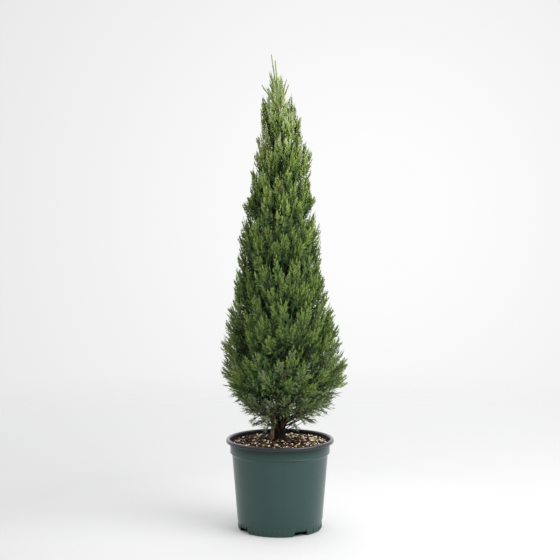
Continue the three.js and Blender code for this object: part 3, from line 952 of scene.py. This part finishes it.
def set_along(rng, curve, count, reach, along, tilt, full, turns):
    """Share, place, line, direction and length of what stands along many curves. Along tells
    between which shares it stands, tilt how far it leans at either end, in degrees, and full what
    share of the reach it has at the foot, before the middle, behind it and at the tip."""
    share = (np.arange(count) + rng.uniform(0, 1, (len(curve[0]), count))) / count
    foot, bend, tip = [point[:, None] for point in curve]
    place = bezier([foot, bend, tip], lerp(*along, share))
    ahead = unit(bezier([bend - foot, tip - bend], lerp(*along, share)))
    lean = np.radians(lerp(*tilt, share) + rng.normal(0, LEAN_SPREAD, share.shape))
    out = leaning(place, ahead, lean, turns(rng, *share.shape))
    length = reach[:, None] * np.interp(share, (0, 0.25, 0.7, 1), full)
    length = length * rng.uniform(0.8, 1.15, share.shape)
    return share, place, ahead, out, length


def held_inside(place, arrow, limit):
    """What is left of an arrow when the crown's outside, or a share of it, shortens it."""
    inner, outer = crown_share(place), crown_share(place + arrow)
    left = (limit - inner) / np.maximum(outer - inner, 1e-6)
    return np.where(outer > limit, np.clip(left, 0.25, 1.0), 1.0)


# %% Side plumes
SIDE_TILT = (50, 28)
SIDE_ALONG = (0.2, 0.86)
SIDE_FULL = (0.85, 1, 0.85, 0.5)
SIDE_AHEAD = 0.4
RISING = (0.05, 0.75)
PLUME_LIGHT = 0.2
PLUME_NOISE = 0.06


def side_plumes(rng, curve, count, reach, limit, rising, turns=spiral):
    """A plume forks into side plumes, each with a pointed end of its own, and ends in one too.
    Gives their curves, their reach, the crown share they keep to and how much lighter they are."""
    share, place, ahead, out, length = set_along(
        rng, curve, count, reach, SIDE_ALONG, SIDE_TILT, SIDE_FULL, turns)
    arrow = length[..., None] * unit(out + SIDE_AHEAD * ahead + np.reshape(rising, (-1, 1, 1)) * UP)
    arrow *= held_inside(place, arrow, limit[:, None])[..., None]
    bend = place + 0.5 * np.linalg.norm(arrow, axis=-1, keepdims=True) * out
    ends = [bezier(curve, np.full(len(curve[0]), share)) for share in (0.6, 0.8, 1.0)]
    sides = [part.reshape(-1, 3) for part in (place, bend, place + arrow)]
    side_reach = np.linalg.norm(arrow, axis=-1).ravel()
    curves = [np.concatenate(pair) for pair in zip(sides, ends)]
    plume_light = rng.normal(0, PLUME_NOISE, len(reach))
    light = (PLUME_LIGHT * (share - 0.55) + plume_light[:, None]).ravel()
    light = np.concatenate([light, 0.4 * PLUME_LIGHT + plume_light])
    limits = np.concatenate([np.repeat(limit, count), limit])
    return curves, np.concatenate([side_reach, 0.85 * reach]), limits, light


# %% Shoots of the branchlets
SHOOT_SHARE = (0.32, 0.26)
SHOOT_TILT = (28, 18)
SHOOT_SPREAD = 5
SHORTEST_SHOOT = 5 * MM


def shoots_of(rng, place, out, length, count, cord_half_width):
    """Origin, direction, length, width, share and branchlet of the shoots that thicken branchlets.
    The first of them are the branchlets' own cords."""
    share = lerp(0.06, 0.84, (np.arange(count) + rng.uniform(0, 1, (len(place), count))) / count)
    origin = place[:, None] + share[..., None] * (length[:, None] * out)[:, None]
    turn = np.arange(count) * GOLDEN_ANGLE + rng.uniform(0, 2 * np.pi, (len(place), 1))
    ahead = np.broadcast_to(out[:, None], origin.shape)
    lean = np.radians(lerp(*SHOOT_TILT, share) + rng.normal(0, SHOOT_SPREAD, share.shape))
    heading = leaning(origin, ahead, lean, turn)
    size = length[:, None] * lerp(*SHOOT_SHARE, share) * rng.uniform(0.8, 1.2, share.shape)
    size = np.maximum(size, SHORTEST_SHOOT)
    cords = (place, out, length, np.full(len(place), cord_half_width), np.full(len(place), 0.5))
    sides = (origin.reshape(-1, 3), heading.reshape(-1, 3), size.ravel(),
             np.full(size.size, SHOOT_HALF_WIDTH), share.ravel())
    owner = np.concatenate([np.arange(len(place)), np.repeat(np.arange(len(place)), count)])
    return (*[np.concatenate(pair) for pair in zip(cords, sides)], owner)


# %% [markdown]
# A mass has two kinds of plumes. The outer ones make the crown's uneven outside: it swells into
# clumps and falls back between them, after a wave that runs round and up the crown. The inner ones
# are shorter and coarser and only close the view to the trunk, which costs few faces.

# %% Plumes of a mass
LOW_DRAWN_IN = 0.68
# inner plumes of each tier, as a share of its outer ones
INNER_SHARES = (0.6, 1.8, 1.8, 1.8, 1.8, 1.8, 1.4, 0.9)


def swell(points):
    """From -1 to 1: where the crown swells into a clump and where it falls back between two."""
    azimuth, height = np.arctan2(points[..., 1], points[..., 0]), points[..., 2]
    across = np.sin(5 * azimuth + 2.2 * np.sin(19 * height) + 0.7)
    return across * np.sin(43 * height + 1.9 * np.cos(3 * azimuth))


def outer_plumes(rng, plan):
    """Foot, bend and tip of the plumes that reach the crown's outside, as the solid's sprays do."""
    tier, member, count = plan.index, plan.member, plan.tier["plumes"]
    i = np.arange(count)
    across = 1.02 * (2 * ((i * GOLDEN_SHARE + chance(tier, member, 1)) % 1) - 1)
    level = lerp(0.55 if tier == 0 else -0.04, 1.0, (i + 0.5) / count)
    root = plan.place_at(np.full(count, 0.6), across * 0.85, lerp(0.4, level, 0.5))
    tip = plan.place_at(np.ones(count), across, level)
    shortest = lerp(0.92, 0.76, plan.index / (len(TIERS) - 1))
    reach = lerp(shortest, 1.03, 0.5 + 0.5 * swell(tip)) * rng.uniform(0.95, 1.03, count)
    tip = lerp(root, tip, (LOW_DRAWN_IN if tier == 0 else 1.0) * reach[:, None])
    foot = plan.line_at(rng.uniform(max(plan.start + 0.03, 0.2), 0.5, count))
    length = np.linalg.norm(tip - foot, axis=1)[:, None]
    lift = lerp(-0.14, 0.06, level)[:, None] if tier == 0 else 0.1
    return foot, lerp(root, tip, 0.2) - UP * lift * length, tip


def inner_plumes(rng, plan):
    """Shorter plumes close to the trunk, which close the crown between the tiers."""
    count = round(INNER_SHARES[plan.index] * plan.tier["plumes"])
    i = np.arange(count)
    across = 2 * ((i * GOLDEN_SHARE + 0.37) % 1) - 1
    level = lerp(0.5 if plan.index == 0 else 0.1, 1.1, (i + 0.5) / count)
    tip = plan.place_at(rng.uniform(0.62, 0.92, count), across, level)
    foot = plan.line_at(rng.uniform(plan.start + 0.02, max(plan.start + 0.06, 0.25), count))
    bend = plan.place_at(rng.uniform(0.3, 0.5, count), across, level * 0.4)
    return foot, bend, tip


# %% [markdown]
# Foliage is darkest deep in the crown and freshest at its tips, and the top of the tree is palest.
# The darker inside is partly painted shade, the clumps are lighter and the hollows between them
# darker as painted light and shade, the paler top is partly painted light, and the paler left and
# right flanks are painted light. The rule gives each branchlet a number from 0 to 1 by its place,
# and the greens are dealt out by that number. A little chance keeps neighbours from looking alike.

# %% Greens by place
# from this height up the foliage grows paler: partly young growth, partly painted light
PALER_FROM, PALER_OVER = 0.95, 0.6
# heights in metres, and the brightest green that foliage has at each; held darker lower down as a
# painted shade
BRIGHTEST = ((0.4, 0.6, 0.95, 1.55), (0.56, 0.7, 0.7, 1.0))
# how much paler the left and right flanks are: a painted light
FLANK_PAINTED_LIGHT = 0.11


def greenness(rng, share, end):
    """From 0 to 1 for each branchlet: deep inside, fresh at the tips and paler towards the top.
    Darker inside partly as painted shade, lighter on clumps and darker between them as painted
    light and shade, paler at the left and right flanks and partly at the top as painted light.
    The second array is the brightest that the height allows, which keeps the lower crown darker
    as a painted shade."""
    rise = np.clip((end[..., 2] - PALER_FROM) / PALER_OVER, 0, 1)
    outside = np.clip((crown_share(end) - 0.45) / 0.55, 0, 1)
    # darker inside the crown: partly older foliage, partly painted shade
    value = 0.04 + 0.42 * outside + 0.16 * share + 0.5 * rise ** 1.1
    # lighter on the clumps and darker in the hollows between them: painted light and shade
    value = value + lerp(0.03, 0.12, rise) * swell(end)
    flank = np.abs(np.cos(np.arctan2(end[..., 1], end[..., 0])))
    # painted light on the left and right flanks; towards the top the darks are lifted, a painted light
    # too
    value = lerp(value + FLANK_PAINTED_LIGHT * (flank - 0.55), 0.8, 0.42 * rise ** 2)
    value += rng.normal(0, 0.045, share.shape[0])[:, None] + rng.normal(0, 0.03, share.shape)
    return value, np.interp(end[..., 2], *BRIGHTEST)


def tones_of(value, grey):
    """The material slot of each shoot. Grey foliage is grey where it isn't in deep shade."""
    tone = np.clip((value * GREY_GREEN).astype(int), 0, GREY_GREEN - 1)
    return np.where(grey & (tone > 1), GREY_GREEN, tone)


# %% [markdown]
# All branchlets of a set of plumes are grown in one call. Towards the top they lie closer to their
# plume, which makes it feathery, and towards the foot some are left out, so that the crown opens.
# A branchlet that would stand out of the crown or touch the trunk is skipped too.

# %% Branchlets and shoots of many plumes
BRANCHLET_TILT = (39, 25)
TOP_TILT = (24, 14)
BRANCHLET_ALONG = (0.03, 0.9)
BRANCHLET_FULL = (1, 0.92, 0.5, 0.22)
# heights in metres, and how far the branchlets have gone over to the tilt of the top
HIGH_UP = ((0.85, 1.3), (0, 1))
# heights in metres, and the share of the branchlets that stays
FULLNESS = ((0.37, 0.5), (0.5, 1.0))
LOWEST_TIP, HIGHEST_TIP = 318 * MM, 1570 * MM
OPEN_SKY = 5
WHIP_SHARE = 0.34
STAND_PROUD = 16 * MM


def staying(rng, end, limit, stand):
    """Which branchlets stay: those that end within the crown, or barely outside it, and clear of
    the trunk. A limit above OPEN_SKY leaves them free. Towards the foot the foliage thins out."""
    height = end[..., 2]
    radius = np.interp(height, CROWN[:, 0], CROWN[:, 1])
    keep = (crown_share(end) < 1.0 + stand / radius) | (limit[:, None] > OPEN_SKY)
    keep &= (height > LOWEST_TIP) & (height < HIGHEST_TIP)
    from_middle = np.linalg.norm((end - middle_at(height))[..., :2], axis=-1)
    keep &= (from_middle > trunk_radius(height) + 2 * MM) | (height > TRUNK_TIP)
    return keep & (rng.uniform(0, 1, keep.shape) < np.interp(height, *FULLNESS))


def grow_foliage(rng, curve, reach, limit, light, grey_share, shoots, branchlets, cord, wide_share,
                 stand=STAND_PROUD):
    """Points, faces and tones of the blades along many side plumes. Cord is half the width of
    a branchlet's cord, and wide_share how long branchlets are, as a share of the plume's reach."""
    high = np.interp(curve[0][:, 2], *HIGH_UP)[:, None]
    tilt = [lerp(low_tilt, top_tilt, high) for low_tilt, top_tilt in zip(BRANCHLET_TILT, TOP_TILT)]
    share, place, _, out, length = set_along(
        rng, curve, branchlets, wide_share * reach, BRANCHLET_ALONG, tilt, BRANCHLET_FULL, fan)
    length = length * held_inside(place, length[..., None] * out, limit[:, None])
    end = place + length[..., None] * out
    green, brightest = greenness(rng, share, end)
    keep = staying(rng, end, limit, stand)
    origin, heading, size, wide, along, owner = shoots_of(
        rng, place[keep], out[keep], length[keep], shoots, cord)
    grey_row = rng.uniform(0, 1, len(reach)) < grey_share
    grey = np.broadcast_to(grey_row[:, None], keep.shape)[keep][owner]
    green = (green + light[:, None])[keep][owner] + 0.22 * (along - 0.4)
    green = np.minimum(green + rng.normal(0, 0.04, len(owner)), brightest[keep][owner])
    # each side plume ends in a whip of its own
    _, bend, tip = curve
    whip = WHIP_SHARE * reach
    ahead = unit(tip - bend)
    origin = np.concatenate([origin, tip - 0.5 * whip[:, None] * ahead])
    heading = np.concatenate([heading, ahead])
    size, wide = np.concatenate([size, whip]), np.concatenate([wide, np.full(len(tip), cord)])
    tip_green, brightest = greenness(rng, np.full((len(tip), 1), 0.6), tip[:, None])
    green = np.concatenate([green, np.minimum(tip_green + light[:, None], brightest)[:, 0]])
    roll = faced_outward(rng, origin, heading, owner)
    width = wide * rng.uniform(0.85, 1.2, len(origin))
    points, faces = copies(SHOOT, SHOOT_FACES, origin, heading, roll, size, width)
    tones = tones_of(green, np.concatenate([grey, grey_row]))
    return points, faces, np.repeat(tones, len(SHOOT_FACES))


# %% Stems, and one piece out of many arrays
PLUME_STEM = (1.5, 1.4, 1.3, 1.1, 0.9, 0.7, 0.5)
SIDE_STEM_RADII = (0.7, 0.6, 0.5, 0.3)


def stems_of(curve, radii, sides):
    """Thin stems along many curves. Their radii from foot to tip are in millimetres."""
    steps = len(radii)
    foot, bend, tip = [point[:, None] for point in curve]
    along = np.broadcast_to(np.linspace(0, 0.96, steps), (len(foot), steps))
    paths = bezier([foot, bend, tip], along)
    return tubes(paths, np.broadcast_to(np.array(radii) * MM, paths.shape[:2]), sides)


def plume_stems(curve, sides):
    return [stems_of(curve, PLUME_STEM, 4), stems_of(sides, SIDE_STEM_RADII, 3)]


def joined(parts):
    """One set of arrays out of many: points, faces and, where given, the slots of the faces."""
    firsts = np.cumsum([0] + [len(part[0]) for part in parts[:-1]])
    faces = [part[1] + first for part, first in zip(parts, firsts)]
    return (np.concatenate([part[0] for part in parts]), np.concatenate(faces),
            *[np.concatenate(column) for column in list(zip(*parts))[2:]])


def settle_foliage(name, leaves, twigs, nodes=()):
    """One piece of foliage and one of its twigs. Gives the number of the foliage's faces."""
    points, faces, slots = joined(leaves)
    green = piece_from_arrays(f"foliage_{name}", points, faces, GREENS, slots)
    settle(green, *nodes, slot="foliage")
    points, faces = joined(twigs)
    stems = piece_from_arrays(f"twigs_{name}", points, faces, [TWIG], None, True)
    settle(stems, slot="bark")
    print(green.name, len(green.data.polygons), "faces, twigs", len(faces))
    return len(green.data.polygons)


# %% [markdown]
# Now the crown is grown, tier by tier. Two or three neighbouring masses share one mesh of leaves
# and one of twigs, which keeps each mesh light and the list of pieces short.

# %% Growing the tiers
CORD_HALF_WIDTH = 2.1 * MM
INNER_HALF_WIDTH = 3.2 * MM
BRANCHLETS, LOW_BRANCHLETS = 11, 8
BRANCHLET_SHARE = 0.46
SHOOTS = 3
INNER_FORKS = 6
INNER_BRANCHLETS = 7
INNER_SHOOTS = 1
MASS_STEM_STEPS = 9
GREY_SHARES = {0: 0.55, 1: 0.16}
MOST_MASSES = 3


def mass_stem(plan):
    radius = min(STEM_RADIUS, 0.5 * float(trunk_radius(plan.tier["foot"] * MM)))
    path = plan.line_at(np.linspace(plan.start, STEM_END, MASS_STEM_STEPS))
    return tubes(path[None], np.linspace(radius, TWIG_RADIUS, MASS_STEM_STEPS)[None], 6)


def grow_mass(plan):
    """Leaves and twigs of one mass: fine plumes outside, and coarser ones inside that close it."""
    leaves, twigs = [], []
    rng = np.random.default_rng(1000 * (plan.index + 1) + plan.member)
    high = plan.index / (len(TIERS) - 1)
    outer, inner = outer_plumes(rng, plan), inner_plumes(rng, plan)
    branchlets = BRANCHLETS if plan.index else LOW_BRANCHLETS
    inner_width = lerp(INNER_HALF_WIDTH, CORD_HALF_WIDTH, high)
    outside = (plan.tier["forks"], SHOOTS, branchlets, CORD_HALF_WIDTH)
    inside = (INNER_FORKS, INNER_SHOOTS, INNER_BRANCHLETS, inner_width)
    for curve, (forks, *kind) in ((outer, outside), (inner, inside)):
        reach = plan.tier["reach"] * MM * rng.uniform(0.8, 1.15, len(curve[0]))
        limit = crown_share(curve[2]) + 0.02
        sides, side_reach, side_limit, light = side_plumes(
            rng, curve, forks, reach, limit, lerp(*RISING, high))
        grey_share = GREY_SHARES.get(plan.index, 0.0)
        leaves.append(grow_foliage(
            rng, sides, side_reach, side_limit, light, grey_share, *kind, BRANCHLET_SHARE))
        twigs += plume_stems(curve, sides)
    return leaves, twigs + [mass_stem(plan)]


def make_masses(plans):
    """One piece of foliage and one of twigs for a few neighbouring masses of a tier."""
    grown = [grow_mass(plan) for plan in plans]
    leaves, twigs = [sum(lists, []) for lists in zip(*grown)]
    tier = plans[0].index + 1
    members = [plan.member + 1 for plan in plans]
    name = "_".join(["tier", str(tier), *map(str, members)])
    return settle_foliage(name, leaves, twigs, [f"foliage_{tier}_{member}" for member in members])


leaf_faces = 0
for index in range(len(TIERS)):
    neighbours = [plan for plan in PLANS if plan.index == index]
    pieces = math.ceil(len(neighbours) / MOST_MASSES)
    for group in np.array_split(np.arange(len(neighbours)), pieces):
        leaf_faces += make_masses([neighbours[i] for i in group])

# %% [markdown]
# The hem is the lowest fringe of the crown. Its sprays leave the trunk just above the mix, arch
# out and hang, so that the crown ends below in open fingers and not in a bowl. The first ones go
# round the trunk by the golden angle, and leave a parting in front where the trunk shows. Those
# whose tips stand against the sky are given one by one. Bare twigs rise among them.

# %% The hem
HEM_TIPS = MM * np.array([
    (-178, 502), (-162, 442), (-145, 422), (-116, 382), (-73, 345), (-43, 345), (195, 442), (172, 388),
    (119, 355), (53, 368), (150, 412), (-96, 402),
])
HEM_PLUMES = 21
HEM_FEET, HEM_ENDS = (400 * MM, 352 * MM), (410 * MM, 330 * MM)
SEEN_FEET = (345 * MM, 420 * MM)
HEM_PARTING = math.radians(16)
HEM_ARCH = 0.34
HEM_FORKS = 5
HEM_REACH = (88, 66)
HEM_SINKING = -0.25
HEM_BRANCHLETS = 8
HEM_BRANCHLET_SHARE = 0.5
HEM_CORD = 1.4 * MM
HEM_STAND = 30 * MM
# the hem's greens are made paler, a painted light against the shade under the crown
HEM_PAINTED_LIGHT = 0.5
# the hem's grey: partly old foliage, partly a painted light that lifts it
HEM_GREY_SHARE = 0.7


def hem_curves(rng):
    """Foot, bend and tip of the hem's plumes, and how far down each hangs, from 0 to 1."""
    i = np.arange(HEM_PLUMES)
    azimuth = (i * GOLDEN_ANGLE + rng.normal(0, 0.15, HEM_PLUMES)) % (2 * np.pi)
    fall = (i + 0.5) / HEM_PLUMES
    hides_foot = (fall > 0.35) & (np.abs(azimuth - 1.5 * np.pi) < HEM_PARTING)
    azimuth, fall = azimuth[~hides_foot], fall[~hides_foot]
    foot = crown_point(np.full(len(fall), 0.14), azimuth, lerp(*HEM_FEET, fall))
    tip = crown_point(rng.uniform(0.8, 1.16, len(fall)), azimuth, lerp(*HEM_ENDS, fall))
    x, z = HEM_TIPS.T
    seen_tip = np.stack([x, rng.normal(0, 25, len(x)) * MM, z], -1)
    seen_foot = middle_at(lerp(*SEEN_FEET, (z - z.min()) / np.ptp(z)))
    foot, tip = np.concatenate([foot, seen_foot]), np.concatenate([tip, seen_tip])
    bend = lerp(foot, tip, 0.55) + UP * HEM_ARCH * np.linalg.norm(tip - foot, axis=1)[:, None]
    return (foot, bend, tip), np.concatenate([fall, np.full(len(x), 0.4)])


def make_hem():
    rng = np.random.default_rng(500)
    curve, fall = hem_curves(rng)
    sides, reach, limit, light = side_plumes(
        rng, curve, HEM_FORKS, lerp(*HEM_REACH, fall) * MM, crown_share(curve[2]) + 0.04,
        HEM_SINKING, fan)
    leaves = grow_foliage(
        rng, sides, reach, limit, light + HEM_PAINTED_LIGHT, HEM_GREY_SHARE, SHOOTS, HEM_BRANCHLETS, HEM_CORD,
        HEM_BRANCHLET_SHARE, HEM_STAND)
    return settle_foliage("hem", [leaves], plume_stems(curve, sides))


leaf_faces += make_hem()

# %% Bare twigs
BARE_TWIGS = 36
BARE_TWIG_FOOT = (320, 372)
BARE_TWIG_RISE = (40, 100)
BARE_TWIG_RADII = (2.2, 2.0, 1.8, 1.5, 1.2, 1.0, 0.8)


def make_bare_twigs():
    """Brown twigs without needles, which rise from the trunk's foot on all sides."""
    rng = np.random.default_rng(77)
    azimuth = np.arange(BARE_TWIGS) * GOLDEN_ANGLE
    start = rng.uniform(*BARE_TWIG_FOOT, BARE_TWIGS) * MM
    foot = crown_point(np.full(BARE_TWIGS, 0.1), azimuth, start)
    share = rng.uniform(0.45, 0.8, BARE_TWIGS)
    tip = crown_point(share, azimuth, start + rng.uniform(*BARE_TWIG_RISE, BARE_TWIGS) * MM)
    bend = lerp(foot, tip, 0.5) - UP * 0.08 * np.linalg.norm(tip - foot, axis=1)[:, None]
    points, faces = stems_of((foot, bend, tip), BARE_TWIG_RADII, 5)
    settle(piece_from_arrays("bare_twigs", points, faces, [TWIG], None, True), slot="bark")
    print("bare twigs:", BARE_TWIGS)


make_bare_twigs()

# %% [markdown]
# Some plumes stand out against the sky at the right and left and give the crown its outline, and
# a few more close it just inside. Their tips are listed, at places read off the photograph, and
# they grow like all the others. Those at the right get paler greens, a painted light, as they
# stand in the light.

# %% Plumes on the outline
OUTLINE_TIPS = MM * np.array([
    (-58, 1403), (-76, 1290), (-93, 1183), (-104, 1098), (-118, 1077), (-133, 967), (-131, 912),
    (-149, 823), (-144, 787), (-166, 732), (-174, 688), (-189, 625), (49, 1387), (68, 1355),
    (98, 1098), (114, 1098), (129, 902), (143, 839), (153, 793), (176, 727), (219, 562),
    (98, 1148), (112, 1040), (118, 985), (122, 935), (126, 872), (136, 815), (150, 762), (176, 690),
    (196, 630), (88, 1215), (-112, 1010), (-118, 868),
])
OUTLINE_FORKS = 12
OUTLINE_DROP = (130 * MM, 84 * MM)
OUTLINE_REACH = (56 * MM, 26 * MM)
RIGHT_PAINTED_LIGHT = 0.22


def make_outline_plumes():
    rng = np.random.default_rng(700)
    x, z = OUTLINE_TIPS.T
    rise = (z - z.min()) / np.ptp(z)
    tip = np.stack([x, rng.normal(0, 14, len(x)) * MM, z], -1)
    drop = lerp(*OUTLINE_DROP, rise)
    foot = lerp(middle_at(z - drop), tip - UP * drop[:, None], 0.45)
    curve = (foot, lerp(foot, tip, 0.62) - UP * 0.1 * drop[:, None], tip)
    sides, reach, limit, light = side_plumes(
        rng, curve, OUTLINE_FORKS, lerp(*OUTLINE_REACH, rise), crown_share(tip) + 0.02,
        lerp(*RISING, rise))
    # plumes at the right get paler greens: a painted light, as the lamp stands at the right
    light += RIGHT_PAINTED_LIGHT * (sides[2][:, 0] > 0)
    leaves = grow_foliage(
        rng, sides, reach, limit, light, 0.0, SHOOTS, BRANCHLETS, CORD_HALF_WIDTH, BRANCHLET_SHARE)
    return settle_foliage("outline", [leaves], plume_stems(curve, sides))


leaf_faces += make_outline_plumes()

# %% [markdown]
# Above the trunk's tip stands the leader: two slim whips, and shorter ones that rise nearly upright
# round them. They carry the same branchlets as the tiers, only shorter, so that the tip of the tree
# stays feathery and open to the sky.

# %% The leader
WHIP_TIPS = MM * np.array([
    (-29, 0, 1566), (-16, -8, 1546), (-35, 8, 1506), (2, -14, 1493), (21, 8, 1477), (29, -5, 1464),
    (-61, -6, 1464), (-22, 30, 1480), (6, 34, 1458), (-44, -26, 1452), (-18, -36, 1462),
])
TALL_WHIPS = 2
LOWER_WHIPS = 32
LOWER_WHIP_TOPS = (1372 * MM, 1496 * MM)
WHIP_RUN, HIGHEST_WHIP_FOOT = 74 * MM, 1398 * MM
WHIP_REACH = (25 * MM, 34 * MM)
WHIP_LIMIT = 9.0
# the leader's greens are paler: partly young growth, partly painted light at the top of the tree
WHIP_YOUTH_AND_LIGHT = 0.34
WHIP_BRANCHLETS = 30
WHIP_BRANCHLET_SHARE = 0.5
WHIP_SHOOTS = 5
LEADER_CORD = (2.2, 2.2, 2.2, 2.1, 1.9, 1.7, 1.3)
LEADER_GREEN = bpy.data.materials["fresh needle green"]


def whip_curves(rng):
    i = np.arange(LOWER_WHIPS)
    top = lerp(*LOWER_WHIP_TOPS, i / (LOWER_WHIPS - 1)) + rng.normal(0, 8, LOWER_WHIPS) * MM
    lower = crown_point(rng.uniform(0.5, 1.0, LOWER_WHIPS), i * GOLDEN_ANGLE, top)
    tip = np.concatenate([WHIP_TIPS, lower])
    foot = middle_at(np.minimum(tip[:, 2] - WHIP_RUN, HIGHEST_WHIP_FOOT))
    bend = lerp(foot, tip, 0.52) - UP * 0.07 * np.linalg.norm(tip - foot, axis=1)[:, None]
    bend[:TALL_WHIPS] = lerp(foot, tip, 0.5)[:TALL_WHIPS]
    return foot, bend, tip


def make_leader():
    rng = np.random.default_rng(9000)
    curve = whip_curves(rng)
    count = len(curve[0])
    reach = np.where(np.arange(count) < TALL_WHIPS, *WHIP_REACH) * rng.uniform(0.9, 1.1, count)
    points, faces, slots = grow_foliage(
        rng, curve, reach, np.full(count, WHIP_LIMIT), np.full(count, WHIP_YOUTH_AND_LIGHT), 0.0, WHIP_SHOOTS,
        WHIP_BRANCHLETS, CORD_HALF_WIDTH, WHIP_BRANCHLET_SHARE)
    green = piece_from_arrays("foliage_top", points, faces, GREENS, slots)
    settle(green, "foliage_leader", slot="foliage")
    points, faces = stems_of(curve, LEADER_CORD, 5)
    cords = piece_from_arrays("leader_cords", points, faces, [LEADER_GREEN], None, True)
    settle(cords, slot="foliage")
    return len(green.data.polygons)


leaf_faces += make_leader()
print("faces of all the foliage:", leaf_faces)

# %% [markdown]
# The stage is plain: a pale floor that fades into a pale surround, one large soft lamp from the
# upper right and the surround's own light. The camera stands where the photograph was taken from,
# level with the upper crown and looking slightly down, with a long lens.

# %% Camera
# the width of the photograph and its focal length, both in its own pixels
PHOTO_PIXELS = 560
FOCAL_PIXELS = 1530
SENSOR = 36.0
EYE = (0, -5.0, 1.253)
# straight down is 0 degrees and level is 90
LOOK = math.radians(85.12)
camera_data = bpy.data.cameras.new("camera")
camera_data.sensor_width = SENSOR
camera_data.lens = SENSOR * FOCAL_PIXELS / PHOTO_PIXELS
camera_data.clip_end = 100
camera = bpy.data.objects.new("camera", camera_data)
camera.location = EYE
camera.rotation_euler = (LOOK, 0, 0)
bpy.context.scene.collection.objects.link(camera)
bpy.context.scene.camera = camera
print("lens:", round(camera_data.lens, 1), "mm")

# %% Floor
FLOOR_RADIUS = 12.0
FADE_FROM, FADE_TO = 0.9, 3.6
NEAR_FROM, NEAR_TO = 0.2, 1.0
# the floor is painted paler near the pot, against the plant's shadow, and darker to the left as a
# painted shade
FLOOR_FAR, FLOOR_NEAR = (208, 208, 209), (221, 221, 221)
LEFT_END, RIGHT_END = -1.0, 0.5
AT_LEFT, AT_RIGHT = 0.92, 1.01


def floor_colour(tree, reach):
    """Painted light near the pot, against the plant's shadow there, and a little painted shade to the
    left.
    """
    near = ranged_between(tree, reach, NEAR_FROM, NEAR_TO, 1.0, 0.0)
    across = ranged_between(tree, object_axes(tree)["X"], LEFT_END, RIGHT_END, AT_LEFT, AT_RIGHT)
    dimmed = add(tree, "HueSaturation")
    tree.links.new(across, dimmed.inputs["Value"])
    tree.links.new(mixed_colours(tree, near, FLOOR_FAR, FLOOR_NEAR), dimmed.inputs["Color"])
    return dimmed.outputs["Color"]


def make_floor():
    """A disc that grows see-through further out, so that it has no edge to see."""
    bm = bmesh.new()
    bmesh.ops.create_circle(bm, cap_ends=True, segments=96, radius=FLOOR_RADIUS)
    floor = finish_piece("studio_floor", bm, [])
    material, tree, shader = new_material("pale floor", FLOOR_NEAR, 0.2)
    shader.inputs["Roughness"].default_value = 0.9
    place = add(tree, "TexCoord")
    reach = add(tree, "VectorMath", operation="LENGTH")
    tree.links.new(place.outputs["Object"], reach.inputs[0])
    tree.links.new(floor_colour(tree, reach.outputs["Value"]), shader.inputs["Base Color"])
    clear = add(tree, "BsdfTransparent")
    mix = add(tree, "MixShader")
    fade = ranged_between(tree, reach.outputs["Value"], FADE_FROM, FADE_TO, 0.0, 1.0)
    tree.links.new(fade, mix.inputs[0])
    tree.links.new(shader.outputs[0], mix.inputs[1])
    tree.links.new(clear.outputs[0], mix.inputs[2])
    tree.links.new(mix.outputs[0], tree.nodes["Material Output"].inputs["Surface"])
    floor.data.materials.append(material)


make_floor()
print("floor:", 2 * FLOOR_RADIUS, "m across")

# %% Surround and lamp
HORIZON_LIGHT, ZENITH_LIGHT, BACK_LIGHT = 0.36, 1.22, 0.9
LEFT_SHARE, RIGHT_SHARE = 0.95, 1.18
SEEN_MIDDLE, SEEN_EDGE = 0.98, 0.80
MIDDLE_OF_VIEW = (0.06, 1, -0.04)
LAMP_PLACE, LAMP_AIM = (2.8, -1.7, 2.9), (0, 0, 0.7)
LAMP_SIZE, LAMP_POWER = 4.0, 128


def make_surround():
    """Light from above, from the right and from behind the plant. The camera itself sees another
    surround, which is palest in the middle of the view."""
    world = bpy.data.worlds.new("surround")
    bpy.context.scene.world = world
    world.use_nodes = True
    tree = world.node_tree
    place = add(tree, "TexCoord")
    axes = add(tree, "SeparateXYZ")
    tree.links.new(place.outputs["Generated"], axes.inputs[0])
    height = ranged_between(tree, axes.outputs["Z"], 0, 1, HORIZON_LIGHT, ZENITH_LIGHT)
    side = ranged_between(tree, axes.outputs["X"], -1, 1, LEFT_SHARE, RIGHT_SHARE)
    behind = ranged_between(tree, axes.outputs["Y"], 0.1, 1, 0, BACK_LIGHT)
    light = add(tree, "Math", operation="MULTIPLY_ADD")
    tree.links.new(height, light.inputs[0])
    tree.links.new(side, light.inputs[1])
    tree.links.new(behind, light.inputs[2])
    away = add(tree, "VectorMath", operation="DISTANCE")
    away.inputs[1].default_value = MIDDLE_OF_VIEW
    tree.links.new(place.outputs["Generated"], away.inputs[0])
    seen = ranged_between(tree, away.outputs["Value"], 0.05, 0.3, SEEN_MIDDLE, SEEN_EDGE)
    path = add(tree, "LightPath")
    either = add(tree, "Mix", data_type="FLOAT")
    tree.links.new(path.outputs["Is Camera Ray"], either.inputs[0])
    tree.links.new(light.outputs[0], either.inputs[2])
    tree.links.new(seen, either.inputs[3])
    background = tree.nodes["Background"]
    background.inputs["Color"].default_value = (1.0, 1.0, 1.0, 1.0)
    tree.links.new(either.outputs[0], background.inputs["Strength"])


def make_lamp():
    lamp = bpy.data.lights.new("soft key lamp", "AREA")
    lamp.shape, lamp.size, lamp.energy = "DISK", LAMP_SIZE, LAMP_POWER
    piece = bpy.data.objects.new("soft key lamp", lamp)
    piece.location = LAMP_PLACE
    aim = Vector(LAMP_AIM) - Vector(LAMP_PLACE)
    piece.rotation_euler = aim.to_track_quat("-Z", "Y").to_euler()
    bpy.context.scene.collection.objects.link(piece)


make_surround()
make_lamp()
bpy.context.scene.view_settings.view_transform = "Standard"
print("stage is set")
